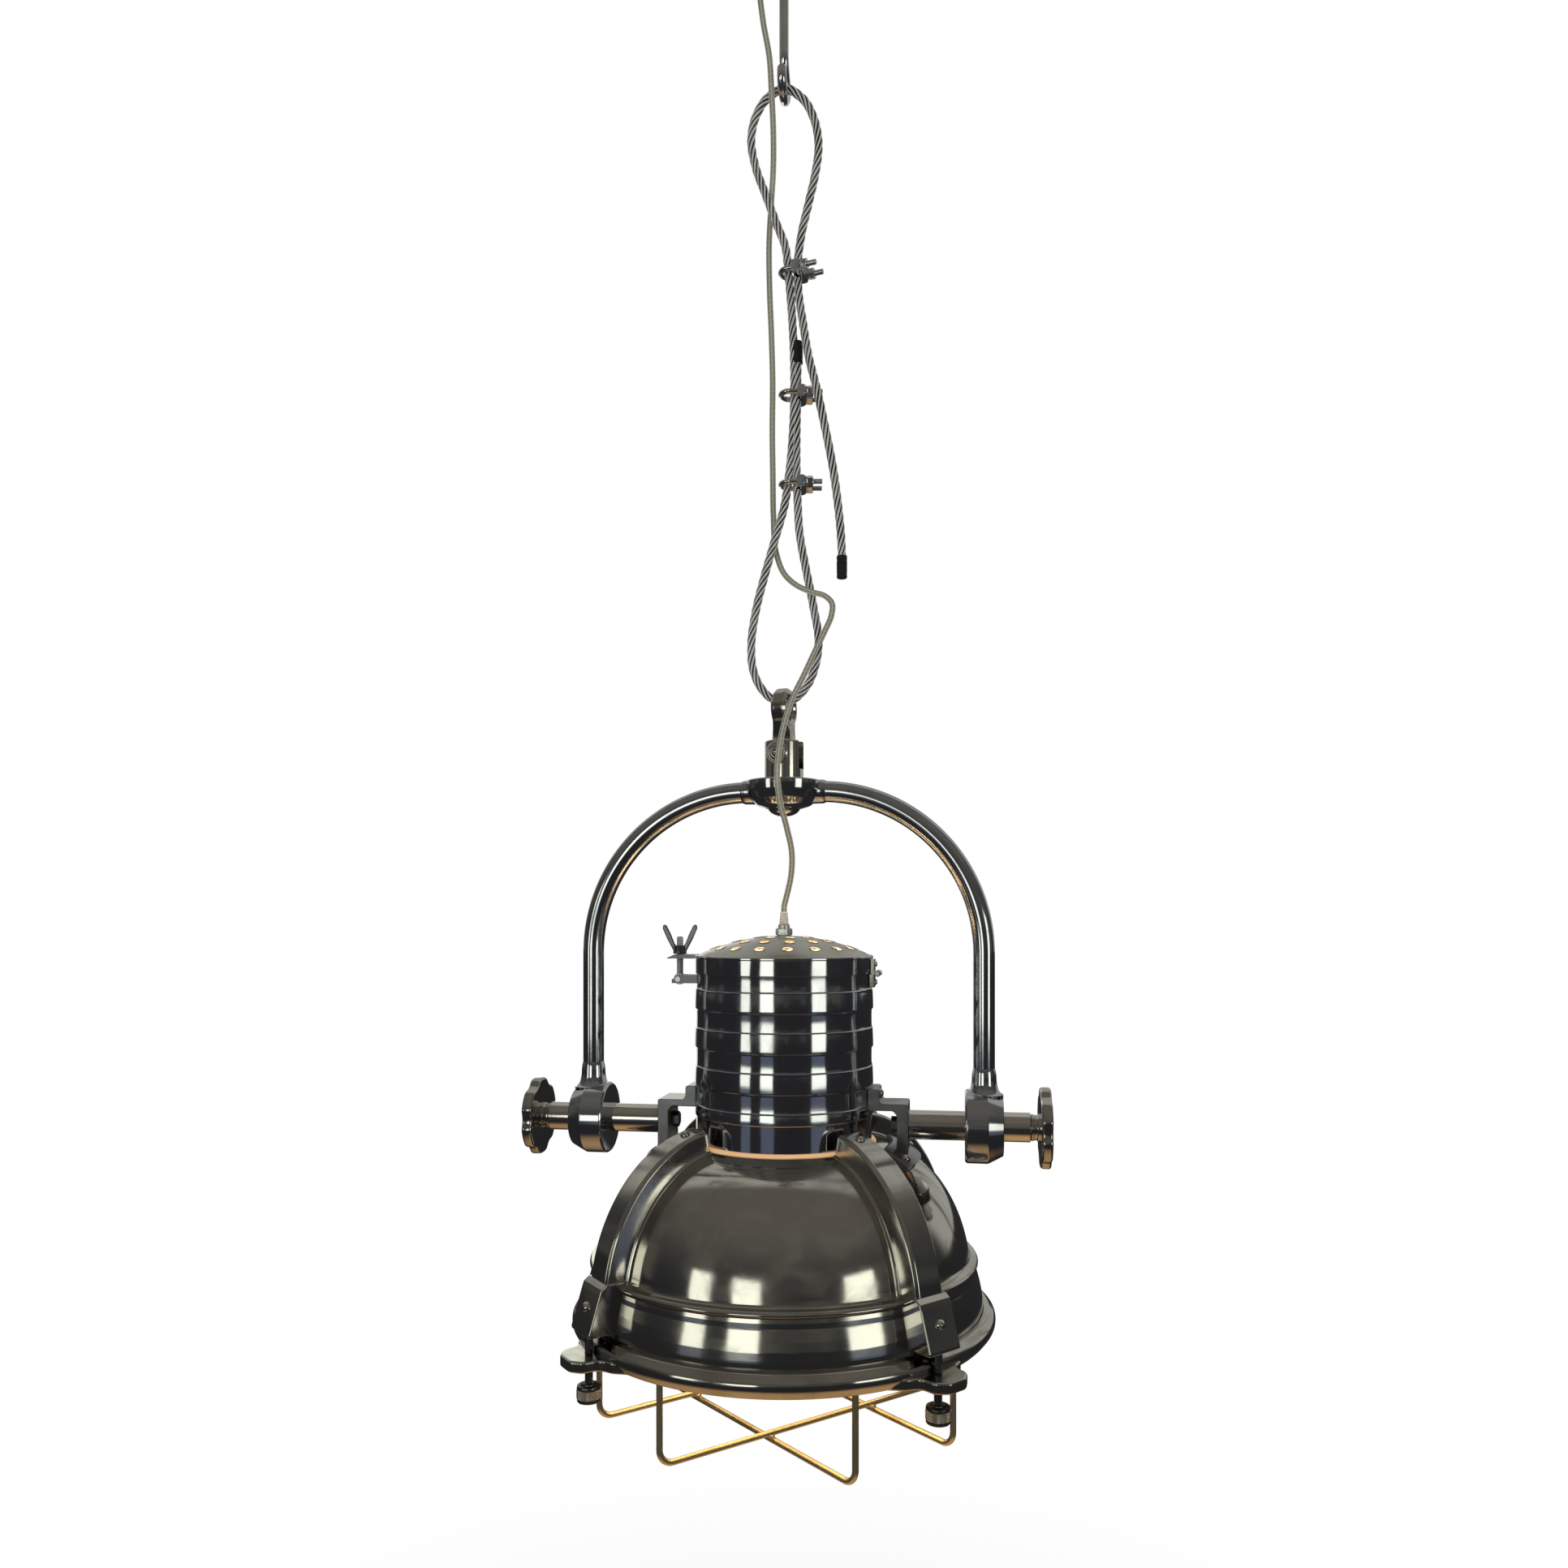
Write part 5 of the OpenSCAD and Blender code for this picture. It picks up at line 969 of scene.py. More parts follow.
# %% Knobs
scallop = []
for k in range(360):
    off = abs((k % 60) - 30)
    far, r_cut = 49.0, 15.5
    side = far * math.sin(math.radians(off))
    reach = far * math.cos(math.radians(off)) - math.sqrt(max(0, r_cut ** 2 - side ** 2)) \
        if side < r_cut else 37.0
    scallop.append(min(37.0, reach))
soft = [sum(scallop[(k + j) % 360] for j in range(-4, 5)) / 9 for k in range(360)]
outline = [tuple(spot(soft[k], k)[:2]) for k in range(0, 360, 3)]
disc = slab(outline, 237.4, 247.4, 2.6, 4)
face = lathe(rounded([(0, 246.5, 0), (20, 246.5, 0), (19, 248.4, 1.4), (13, 248.4, 1.0),
    (11.5, 247.6, 0.5), (0, 247.6, 0)], 4), 64)
spacer = lathe(rounded([(5.2, 229.4, 0.2), (12.2, 229.4, 0.6), (12.2, 231.4, 0.3),
    (11.6, 232, 0.3), (11.6, 234.6, 0.3), (12.4, 235.4, 0.5), (12.5, 239, 0), (0, 239, 0),
    (0, 238, 0), (5.2, 238, 0.2)], 3), 64)
stud = lathe([(0, 205), (5, 205), (5, 239), (0, 239)], 32)
for name, side in (("left", -1), ("right", 1)):
    whole = moved(joined(disc, face, spacer, stud), put(tip=(side, 0, 0)))
    piece(f"knob_{name}_scalloped", whole, cast, f"knob_{name}", f"knob_{name}", sharp=40)
# %% [markdown]
# ## Chimney
# The chimney is rolled sheet with four wide beads pressed outward. Each bead and each band
# between them is slightly rounded up and down, so each shows the three soft boxes again, one
# row above the other. That is the chequered look of the photograph.

# %% Chimney
TOP = 141.0
wall = [(83.0, TOP)]
for i in range(4):
    top = 126 - i * 35.6
    low = top - (18 if i < 3 else 9.9)
    before = wall[-1][1]
    for k in range(1, 9):
        t = k / 9
        wall.append((83.0 - 0.2 * 4 * t * (1 - t), before + (top + 1.0 - before) * t))
    wall += [(83.0, top + 1.0), (83.2, top + 0.45), (83.8, top - 0.1)]
    for k in range(13):
        t = k / 12
        wall.append((83.75 + 0.6 * t + 0.13 * 4 * t * (1 - t), top - 0.6 + (low - top + 1.2) * t))
    wall += [(84.1, low + 0.1), (83.3, low - 0.45), (83.0, low - 1.0)]
wall += [(83.0, -16.6), (82.8, -17), (81.2, -17), (81, -16.6), (81, 140.8), (81.2, TOP)]
# painted glow: the inside of the chimney and of the lid glows by emission, standing in for the bulb's light
painted_glow_inside = moulded("sheet inside the chimney, lit by the bulb", "#f6ead2", "#ecd9b4", 0.4,
    2.0, 0.2, 0.0, 2.4, "#ffe3b8")
chimney = piece("chimney_rolled", lathe(wall, 192, loop=True), ribbed, "lamp", "chimney",
    sharp=50)
chimney.data.materials.append(painted_glow_inside)
for face in chimney.data.polygons:
    if math.hypot(face.center.x, face.center.y) < 0.0813:
        face.material_index = 1

# %% [markdown]
# ## Lid
# A shallow dome, pressed from sheet and hinged on the chimney. Three rings of punched holes let
# the heat out. The inside of the lid has a painted glow for the bulb's light, so the holes
# glow. The holes are cut through, and a tree presses a fine raised rim round each one.

# %% Lid
BROW, RISE = 157.0, 19.0


def dome_z(r, inset=0.0):
    return BROW + 1 - inset + (RISE - 1) * (1 - (r / (82 - inset)) ** 2)


crest = [82 * (1 - k / 14) for k in range(1, 14)]
skirt = rounded([(81.2, TOP, 0), (84, TOP, 0.4), (84, 154.6, 0.3), (84.4, 155.4, 0.4),
    (84.4, 157, 1), (82, 158.4, 1.4)], 4)
crest.append(5.2)
inner = [(r * 0.98 if r > 6 else r, dome_z(r) - 1.8) for r in reversed(crest)] + [(81.2, 156)]
shell = lathe(skirt + [(r, dome_z(r)) for r in crest] + inner, 192, loop=True)
RINGS = ((16, 65.0), (12, 44.5), (8, 24.0))
pins = []
for count, radius in RINGS:
    for i in range(count):
        p = spot(radius, 360 * (i + 0.5) / count, 150)
        pins.append(moved(skin([[spot(5, 18 * k, z) for k in range(20)] for z in (0, 40)]),
            put(*p)))
lid = piece("lid_pressed", cut(shell, *pins), satin, "lamp", "lid", sharp=30)
lid.data.materials.append(ribbed)
lid.data.materials.append(painted_glow_inside)
# faces inside the lid take the painted glow, the skirt takes the ribbed finish
for face in lid.data.polygons:
    x, y, z = face.center * 1000
    r, z = math.hypot(x, y), z + DROP
    if (r < 82.2 and z < 156.4) or (r < 82 and z < dome_z(min(r, 82)) - 1.35):
        face.material_index = 2
    elif r > 83 and z < 157.2:
        face.material_index = 1
print("lid of", len(lid.data.polygons), "faces")

# %% Air hole rims
rims, got = tree_with("pressed rims", ("Count", "NodeSocketInt", 16),
    ("Ring Radius", "NodeSocketFloat", 0.065), ("Hole Radius", "NodeSocketFloat", 0.005),
    ("Bead", "NodeSocketFloat", 0.0004), ("Brow Radius", "NodeSocketFloat", 0.082),
    ("Brow Height", "NodeSocketFloat", -0.972), ("Rise", "NodeSocketFloat", 0.018),
    ("Finish", "NodeSocketMaterial", None))
ring_points = add(rims, "GeometryNodeMeshCircle", {"Vertices": got["Count"],
    "Radius": got["Ring Radius"]})
half_turn = add(rims, "ShaderNodeMath", {0: math.pi, 1: got["Count"]}, operation="DIVIDE")
turn_by = add(rims, "ShaderNodeCombineXYZ", {"Z": half_turn.outputs[0]})
turned_ring = add(rims, "GeometryNodeTransform", {"Geometry": ring_points.outputs[0],
    "Rotation": turn_by.outputs[0]})
share = add(rims, "ShaderNodeMath", {0: got["Ring Radius"], 1: got["Brow Radius"]},
    operation="DIVIDE")
squared = add(rims, "ShaderNodeMath", {0: share.outputs[0], 1: 2.0}, operation="POWER")
left = add(rims, "ShaderNodeMath", {0: 1.0, 1: squared.outputs[0]}, operation="SUBTRACT")
lift = add(rims, "ShaderNodeMath", {0: left.outputs[0], 1: got["Rise"],
    2: got["Brow Height"]}, operation="MULTIPLY_ADD")
up_by = add(rims, "ShaderNodeCombineXYZ", {"Z": lift.outputs[0]})
raised = add(rims, "GeometryNodeSetPosition", {"Geometry": turned_ring.outputs[0],
    "Offset": up_by.outputs[0]})
slope = add(rims, "ShaderNodeMath", {0: got["Rise"], 1: got["Brow Radius"]}, operation="DIVIDE")
slope = add(rims, "ShaderNodeMath", {0: slope.outputs[0], 1: got["Brow Radius"]},
    operation="DIVIDE")
slope = add(rims, "ShaderNodeMath", {0: slope.outputs[0], 1: 2.0}, operation="MULTIPLY")
where = add(rims, "GeometryNodeInputPosition")
outward = add(rims, "ShaderNodeVectorMath", {0: where.outputs[0], "Scale": slope.outputs[0]},
    operation="SCALE")
level = add(rims, "ShaderNodeVectorMath", {0: outward.outputs[0], 1: (1, 1, 0)},
    operation="MULTIPLY")
normal = add(rims, "ShaderNodeVectorMath", {0: level.outputs[0], 1: (0, 0, 1)},
    operation="ADD")
facing = add(rims, "FunctionNodeAlignRotationToVector", {"Vector": normal.outputs[0]},
    axis="Z")
loop_line = add(rims, "GeometryNodeCurvePrimitiveCircle", {"Resolution": 24,
    "Radius": got["Hole Radius"]})
section = add(rims, "GeometryNodeCurvePrimitiveCircle", {"Resolution": 6,
    "Radius": got["Bead"]})
bead = add(rims, "GeometryNodeCurveToMesh", {"Curve": loop_line.outputs[0],
    "Profile Curve": section.outputs[0]})
ringed = add(rims, "GeometryNodeInstanceOnPoints", {"Points": raised.outputs[0],
    "Instance": bead.outputs[0], "Rotation": facing.outputs[0]})
close(rims, ringed.outputs[0], got["Finish"])
for count, radius in RINGS:
    mesh = grown(rims, None, Finish=satin, Count=count, **{"Ring Radius": radius / 1000,
        "Hole Radius": 0.0051, "Bead": 0.00045, "Brow Radius": 0.082,
        "Brow Height": (BROW + 1 - DROP) / 1000, "Rise": (RISE - 1) / 1000})
    settle(f"air_hole_rims_{count}", mesh, satin, "lamp", sharp=80)

# %% [markdown]
# ## Bell
# The bell is spun: a deep dome, a shoulder with a rolled bead, and a skirt that opens a little to
# the guard ring. Inside it turns in to a flat lip for the glass. Where the chimney enters, a
# narrow seal of glass fibre tape has a painted warm glow, as a line of light coming through.

# %% Bell
crown_t = math.acos((84.5 - 78) / 97)
bead_t = math.asin((-118 + 141) / 124)


def bell_point(t, off=0.0):
    n = Vector((math.cos(t) / 97, math.sin(t) / 124)).normalized()
    return Vector((78 + 97 * math.cos(t), -141 + 124 * math.sin(t))) + n * off


steps = [crown_t + (bead_t - crown_t) * k / 40 for k in range(41)]
upper = [tuple(bell_point(t)) for t in steps]
lower = rounded([(*bell_point(bead_t, 0), 0), (174.6, -120.2, 1.4), (180.2, -121.4, 1.6),
    (182.1, -124.6, 2.2), (178.4, -128.2, 0.6), (178.8, -129.3, 0.4),
    (180.9, -136, 24), (183.1, -144, 24), (184.8, -152, 24), (185.9, -160, 24), (186, -169, 1), (165, -169, 0.6), (165, -166.5, 0.6), (183.5, -166.5, 2),
    (183.5, -160, 5), (180, -130.5, 2), (178.6, -124, 2), (171.6, -121.6, 2),
    (*bell_point(bead_t, -2.5), 0)], 5)
inside = [tuple(bell_point(t, -2.5)) for t in reversed(steps)]
piece("bell_spun", lathe(upper + lower[1:-1] + inside, 256, loop=True), spun, "lamp", "bell",
    sharp=50)
# painted glow: the seal tape glows by emission, standing in for light coming through the gap
tape = moulded("glass fibre tape, lit through", "#e8c39a", "#d7ad80", 0.7, 1.5, 0.8, 0.0, 0.5,
    "#ffc790")
seal = rounded([(83.2, -19, 0), (87.3, -19, 0.4), (86.9, -16.2, 1), (84.6, -15.2, 1),
    (83.2, -15.2, 0)], 4)
piece("crown_seal", lathe(seal, 128, loop=True), tape, "lamp")

# %% [markdown]
# ## Ribs
# Four cast ribs run from the chimney's foot over the dome to the guard ring, and hold the ring's
# screws. Each is a channel: a flat back, steep sides, and a thin rolled edge that lies on
# the bell. It ends in a heavier foot with a leaning face, a little wider than the rib.

# %% Ribs
RIB_TURNS = {"front_left": -137, "front_right": -43, "rear_left": 137, "rear_right": 43}
across = rounded([(-19.2, -1.2, 0), (-19.2, 0.5, 0.6), (-18.4, 1.3, 0.5), (-16.6, 1.5, 1.6),
    (-15.4, 17.4, 2.2), (-12.6, 20, 2.4), (12.6, 20, 2.4), (15.4, 17.4, 2.2),
    (16.6, 1.5, 1.6), (18.4, 1.3, 0.5), (19.2, 0.5, 0.6), (19.2, -1.2, 0)], 4)
spine = []
rib_t = math.acos((89.5 - 78) / 97)
for k in range(38):
    t = rib_t + (math.radians(9) - rib_t) * max(k - 1, 0) / 36
    p, n = bell_point(t), Vector((math.cos(t) / 97, math.sin(t) / 124)).normalized()
    wide = (0.98 if k == 0 else 1) * (0.86 + 0.14 * min(1, k / 14))
    lift = 0.95 if k == 0 else 1.0
    ahead = Vector((n.y, -n.x)) * (0.9 if k else 0.0)
    spine.append([(p.x + n.x * h * lift + ahead.x, a * wide, p.y + n.y * h * lift + ahead.y)
        for a, h in across])
rib_back = skin(spine)
foot_side = rounded([(174, -117, 1.6), (193.6, -117, 1.6), (198.2, -120.4, 1.8),
    (199.9, -125, 2.4), (209.9, -157, 1.6), (209.4, -160, 1.6), (174, -160, 1.6)], 4)
foot = moved(slab([(x, z) for x, z in foot_side][::-1], -17.8, 17.8, 1.2),
    Matrix.Rotation(math.pi / 2, 4, "X"))
hollow_side = [(204.5, -159), (196.5, -132), (187, -132), (187, -170), (204.5, -170)]
pocket = moved(skin([[(x, z, d) for x, z in hollow_side] for d in (-13, 13)]),
    Matrix.Rotation(math.pi / 2, 4, "X"))
foot = cut(foot, pocket)
lug = moved(skin([[spot(5.2, 15 * k, z) for k in range(24)] for z in (-159.6, -150)]),
    put(201.5, 0, 0))
for name, turn in RIB_TURNS.items():
    whole = moved(joined(rib_back, foot, lug), put(turn=turn))
    piece(f"rib_{name}_cast", whole, cast, "lamp", f"rib_{name}", sharp=38)

# %% Screws on the ribs
back_t = math.radians(76)
back, lean = bell_point(back_t, 20), bell_point(back_t, 21) - bell_point(back_t, 20)
drop_angle = math.atan2(10.4, 34.5)
places = []
for turn in RIB_TURNS.values():
    out = spot(1, turn)
    places.append((out * back.x + Vector((0, 0, back.y)), out * lean.x
        + Vector((0, 0, lean.y)), 25 + turn))
    places.append((out * (199.6 + 10.4 * 15 / 34.5) + Vector((0, 0, -138)),
        out * math.cos(drop_angle) + Vector((0, 0, math.sin(drop_angle))), 70))
copied("rib_screws_domed", screw_head, places, turned, "lamp", "rib_screws")

# %% [markdown]
# ## Guard ring
# The cast ring closes the bell and holds the glass. Its four ears sweep out of the ring in wide
# fillets to take the thumbscrews, whose heads hang below.

# %% Guard ring
ring_outline = rounded([(156, -187, 1), (191, -187, 6), (197.48, -179, 8),
    (197.48, -172, 7), (191, -166.2, 3.5), (186.3, -166, 0.6), (186.3, -180.9, 0.2),
    (156, -180.9, 0.6)], 6)
ear_plan = rounded([(185, -43, 0), (196, -33, 14), (201.5, -20, 12), (216, -19.6, 9),
    (224.4, -9, 10), (224.4, 9, 10), (216, 19.6, 9), (201.5, 20, 12), (196, 33, 14),
    (185, 43, 0)], 8)
ear = slab(ear_plan, -187, -177, 2.2, 4)
hole = skin([[spot(3.9, 15 * k, z) for k in range(24)] for z in (-190, -174)])
ear = cut(ear, moved(hole, put(201.5, 0, 0)))
ears = [moved(ear, put(turn=turn)) for turn in RIB_TURNS.values()]
piece("guard_ring_cast", joined(lathe(ring_outline, 256, loop=True), *ears), cast, "lamp",
    "guard_ring", sharp=40)

# %% [markdown]
# ## Thumbscrews
# The heads are knurled in crossed diamonds so that they can be turned by hand. The knurl is a
# grid wrapped round the head, and a tree lifts every second point of it. Real diamonds are about
# a millimetre wide.

# %% Knurl
knurl, got = tree_with("diamond knurl", ("Around", "NodeSocketInt", 97),
    ("Rows", "NodeSocketInt", 15), ("Radius", "NodeSocketFloat", 0.0105),
    ("Height", "NodeSocketFloat", 0.010), ("Depth", "NodeSocketFloat", 0.0005),
    ("Place", "NodeSocketVector", (0, 0, 0)), ("Finish", "NodeSocketMaterial", None))
grid = add(knurl, "GeometryNodeMeshGrid", {"Size X": 1.0, "Size Y": 1.0,
    "Vertices X": got["Around"], "Vertices Y": got["Rows"]})
where = add(knurl, "GeometryNodeInputPosition")
parts = add(knurl, "ShaderNodeSeparateXYZ", {0: where.outputs[0]})
angle = add(knurl, "ShaderNodeMath", {0: parts.outputs["X"], 1: 2 * math.pi},
    operation="MULTIPLY")
number = add(knurl, "GeometryNodeInputIndex")
column = add(knurl, "ShaderNodeMath", {0: number.outputs[0], 1: got["Rows"]},
    operation="DIVIDE")
column = add(knurl, "ShaderNodeMath", {0: column.outputs[0]}, operation="FLOOR")
row = add(knurl, "ShaderNodeMath", {0: number.outputs[0], 1: got["Rows"]}, operation="MODULO")
total = add(knurl, "ShaderNodeMath", {0: column.outputs[0], 1: row.outputs[0]},
    operation="ADD")
even = add(knurl, "ShaderNodeMath", {0: total.outputs[0], 1: 2.0}, operation="MODULO")
edge = add(knurl, "ShaderNodeMath", {0: parts.outputs["Y"]}, operation="ABSOLUTE")
edge = add(knurl, "ShaderNodeMath", {0: edge.outputs[0], 1: 0.495}, operation="GREATER_THAN")
sink = add(knurl, "ShaderNodeMath", {0: edge.outputs[0], 1: -0.0012}, operation="MULTIPLY")
peak = add(knurl, "ShaderNodeMath", {0: even.outputs[0], 1: got["Depth"],
    2: sink.outputs[0]}, operation="MULTIPLY_ADD")
reach = add(knurl, "ShaderNodeMath", {0: peak.outputs[0], 1: got["Radius"]}, operation="ADD")
cosine = add(knurl, "ShaderNodeMath", {0: angle.outputs[0]}, operation="COSINE")
sine = add(knurl, "ShaderNodeMath", {0: angle.outputs[0]}, operation="SINE")
x_place = add(knurl, "ShaderNodeMath", {0: cosine.outputs[0], 1: reach.outputs[0]},
    operation="MULTIPLY")
y_place = add(knurl, "ShaderNodeMath", {0: sine.outputs[0], 1: reach.outputs[0]},
    operation="MULTIPLY")
z_place = add(knurl, "ShaderNodeMath", {0: parts.outputs["Y"], 1: got["Height"]},
    operation="MULTIPLY")
wrapped = add(knurl, "ShaderNodeCombineXYZ", {"X": x_place.outputs[0],
    "Y": y_place.outputs[0], "Z": z_place.outputs[0]})
shifted = add(knurl, "ShaderNodeVectorMath", {0: wrapped.outputs[0], 1: got["Place"]},
    operation="ADD")
rolled = add(knurl, "GeometryNodeSetPosition", {"Geometry": grid.outputs[0],
    "Position": shifted.outputs[0]})
sealed = add(knurl, "GeometryNodeMergeByDistance", {"Geometry": rolled.outputs[0],
    "Distance": 0.00001})
points_up = add(knurl, "GeometryNodeTriangulate", {"Mesh": sealed.outputs[0]},
    quad_method="SHORTEST_DIAGONAL")
close(knurl, points_up.outputs[0], got["Finish"])

# %% Thumbscrews
HEAD = -218.5
thread_line = [(3.5 if k % 2 else 3.15, HEAD + 15.2 + 0.45 * k) for k in range(66)]
screw_outline = [(0, HEAD), (8.6, HEAD), (9.5, HEAD + 0.3), (10.1, HEAD + 1.2),
    (10.0, HEAD + 2.2), (10.0, HEAD + 12.0), (10.2, HEAD + 12.6), (9.8, HEAD + 14),
    (9.0, HEAD + 14.3), (6.7, HEAD + 14.3), (6.2, HEAD + 13.2), (5.2, HEAD + 13.2),
    (4.6, HEAD + 15)] + thread_line + [(3.5, -173), (3.5, -150.4), (3.0, -150), (0, -150)]
collar = rounded([(3.2, -190.9, 0), (5.8, -190.9, 0.8), (6.5, -189.6, 0.5),
    (6.5, -187.4, 0.3), (3.2, -187.4, 0)], 3)
for name, turn in RIB_TURNS.items():
    here = spot(201.5, turn)
    body = f"thumbscrew_{name}"
    piece(f"{body}_turned", moved(joined(lathe(screw_outline, 40), lathe(collar, 40, loop=True)),
        put(*here)), dark_zinc, body, body, sharp=50)
    mesh = grown(knurl, None, Finish=turned, Around=57, Rows=9, Radius=0.0101,
        Height=0.0098, Depth=0.00055, Place=list(at(*(here + Vector((0, 0, HEAD + 7.3))))))
    settle(f"{body}_knurl", mesh, satin, body, sharp=10)

# %% [markdown]
# ## Wire guard
# Four U bars of rod, two each way, welded where they cross. A tree draws one bar as a line with
# filleted corners, gives it the rod's thickness, and copies it onto the four places.

# %% Guard bars
bars, got = tree_with("guard bars", ("Places", "NodeSocketGeometry", None),
    ("Reach", "NodeSocketFloat", 0.1644), ("Depth", "NodeSocketFloat", 0.08),
    ("Bend", "NodeSocketFloat", 0.013), ("Rod", "NodeSocketFloat", 0.00275),
    ("Finish", "NodeSocketMaterial", None))
minus = add(bars, "ShaderNodeMath", {0: got["Reach"], 1: -1.0}, operation="MULTIPLY")
corner_low = add(bars, "ShaderNodeCombineXYZ", {"X": minus.outputs[0]})
corner_high = add(bars, "ShaderNodeCombineXYZ", {"X": got["Reach"]})
top_low = add(bars, "ShaderNodeCombineXYZ", {"X": minus.outputs[0], "Z": got["Depth"]})
top_high = add(bars, "ShaderNodeCombineXYZ", {"X": got["Reach"], "Z": got["Depth"]})
four = add(bars, "GeometryNodeMeshLine", {"Count": 4})
index = add(bars, "GeometryNodeInputIndex")
tests = [add(bars, "FunctionNodeCompare", {2: index.outputs[0], 3: n}, data_type="INT",
    operation="EQUAL") for n in range(3)]
spotted = top_high.outputs[0]
for test, corner in zip(reversed(tests), (corner_high, corner_low, top_low)):
    spotted = add(bars, "GeometryNodeSwitch", {"Switch": test.outputs[0], "False": spotted,
        "True": corner.outputs[0]}, input_type="VECTOR").outputs[0]
strung = add(bars, "GeometryNodeSetPosition", {"Geometry": four.outputs[0],
    "Position": spotted})
strand_curve = add(bars, "GeometryNodeMeshToCurve", {0: strung.outputs[0]})
bent = add(bars, "GeometryNodeFilletCurve", {"Curve": strand_curve.outputs[0], "Count": 12,
    "Radius": got["Bend"], "Limit Radius": True}, mode="POLY")
round_rod = add(bars, "GeometryNodeCurvePrimitiveCircle", {"Resolution": 20,
    "Radius": got["Rod"]})
bar_mesh = add(bars, "GeometryNodeCurveToMesh", {"Curve": bent.outputs[0],
    "Profile Curve": round_rod.outputs[0], "Fill Caps": True})
aim = add(bars, "GeometryNodeInputNamedAttribute", {"Name": "aim"}, data_type="FLOAT_VECTOR")
aimed = add(bars, "FunctionNodeEulerToRotation", {0: aim.outputs[0]})
four_bars = add(bars, "GeometryNodeInstanceOnPoints", {"Points": got["Places"],
    "Instance": bar_mesh.outputs[0], "Rotation": aimed.outputs[0]})
close(bars, four_bars.outputs[0], got["Finish"])
for k, (turn, z) in enumerate(((-43, -267.0), (-137, -261.7))):
    dots = bpy.data.meshes.new("bar places")
    sides = [spot(57, turn + 90), spot(57, turn - 90)]
    dots.from_pydata([at(p.x, p.y, z) for p in sides], [], [])
    dots.attributes.new("aim", "FLOAT_VECTOR", "POINT").data.foreach_set("vector",
        [0, 0, math.radians(turn)] * 2)
    mesh = grown(bars, dots, Finish=rod_finish, Reach=math.sqrt(174 ** 2 - 57 ** 2) / 1000,
        Depth=(-186.8 - z) / 1000, Bend=0.013, Rod=0.00275)
    bar_piece = settle(f"guard_bars_{'lower' if k == 0 else 'upper'}", mesh, rod_finish, "lamp",
        "wire_guard", sharp=60)
    print("bars reach down to", round(min(v.co.z for v in mesh.vertices), 4))
blob = [(0, -2.2), (2.2, -1.8), (3.6, -0.6), (3.6, 0.6), (2.2, 1.8), (0, 2.2)]
crossings = []
for a in (1, -1):
    for b in (1, -1):
        p, q = spot(57, -43 + 90 * a), spot(57, -137 + 90 * b)
        u, v = spot(1, -43), spot(1, -137)
        s = ((q - p).x * v.y - (q - p).y * v.x) / (u.x * v.y - u.y * v.x)
        hit = p + u * s
        crossings.append((Vector((hit.x, hit.y, -264.35)), (0, 0, 1), 0))
copied("guard_welds", lathe(blob, 20), crossings, rod_finish, "lamp", sharp=60)
# %% [markdown]
# ## Brackets
# Each trunnion is carried by a cast bracket. A tab is screwed to the chimney, a shelf carries the
# bolt, and a wide foot follows the dome and is screwed down at both ends. The bracket is only
# wheel finished, so it looks greyer and duller than the plated parts.

# %% Brackets
bracket_side = rounded([(80.8, 15, 1.2), (104, 15, 3.4), (107.5, 11, 3.4), (107.5, -30, 1.2),
    (118, -30, 1.2), (118, 21.5, 2), (93.6, 21.5, 2.2), (91.2, 25, 2.2), (91.2, 34.6, 2.4),
    (80.8, 34.6, 2)], 4)
web = moved(slab(bracket_side, -20, 20, 0.9, 4), Matrix.Rotation(math.pi / 2, 4, "X"))
plate = []
for k in range(11):
    t = math.radians(76 - 16 * (min(max(k - 1, 0), 8)) / 8)
    edge = 1.1 if k in (0, 10) else 0.0
    ring = []
    for turn in (-22, -21.5, *range(-20, 21, 4), 21.5, 22):
        low_edge = 1.1 if abs(turn) == 22 else 0.0
        p = bell_point(t, 4.5 - max(edge, low_edge))
        ring.append(spot(p.x, turn, p.y))
    for turn in (22, *range(20, -21, -4), -22):
        p = bell_point(t, -1)
        ring.append(spot(p.x, turn, p.y))
    plate.append(ring)
bracket = joined(web, skin(plate))
for name, turn in (("left", 180), ("right", 0)):
    piece(f"bracket_{name}_cast", moved(bracket, put(turn=turn)), rough_cast, "lamp",
        f"bracket_{name}", sharp=40)
foot_t = math.radians(65)
foot_at, foot_up = bell_point(foot_t, 4.5), bell_point(foot_t, 5.5) - bell_point(foot_t, 4.5)
places = []
for side in (0, 180):
    tab = spot(91.2, side, 28.5)
    places.append((tab, spot(1, side), 30))
    for turn in (side - 16, side + 16):
        out = spot(1, turn)
        places.append((out * foot_at.x + Vector((0, 0, foot_at.y)),
            out * foot_up.x + Vector((0, 0, foot_up.y)), turn * 2))
copied("bracket_screws_domed", screw_head, places, turned, "lamp", "bracket_screws")

# %% [markdown]
# ## Light
# A clear bulb would blind the eye, so such lamps take a frosted one. It hangs in a porcelain
# holder under a white enamelled reflector, behind a pane of clear glass between two rubber rings.

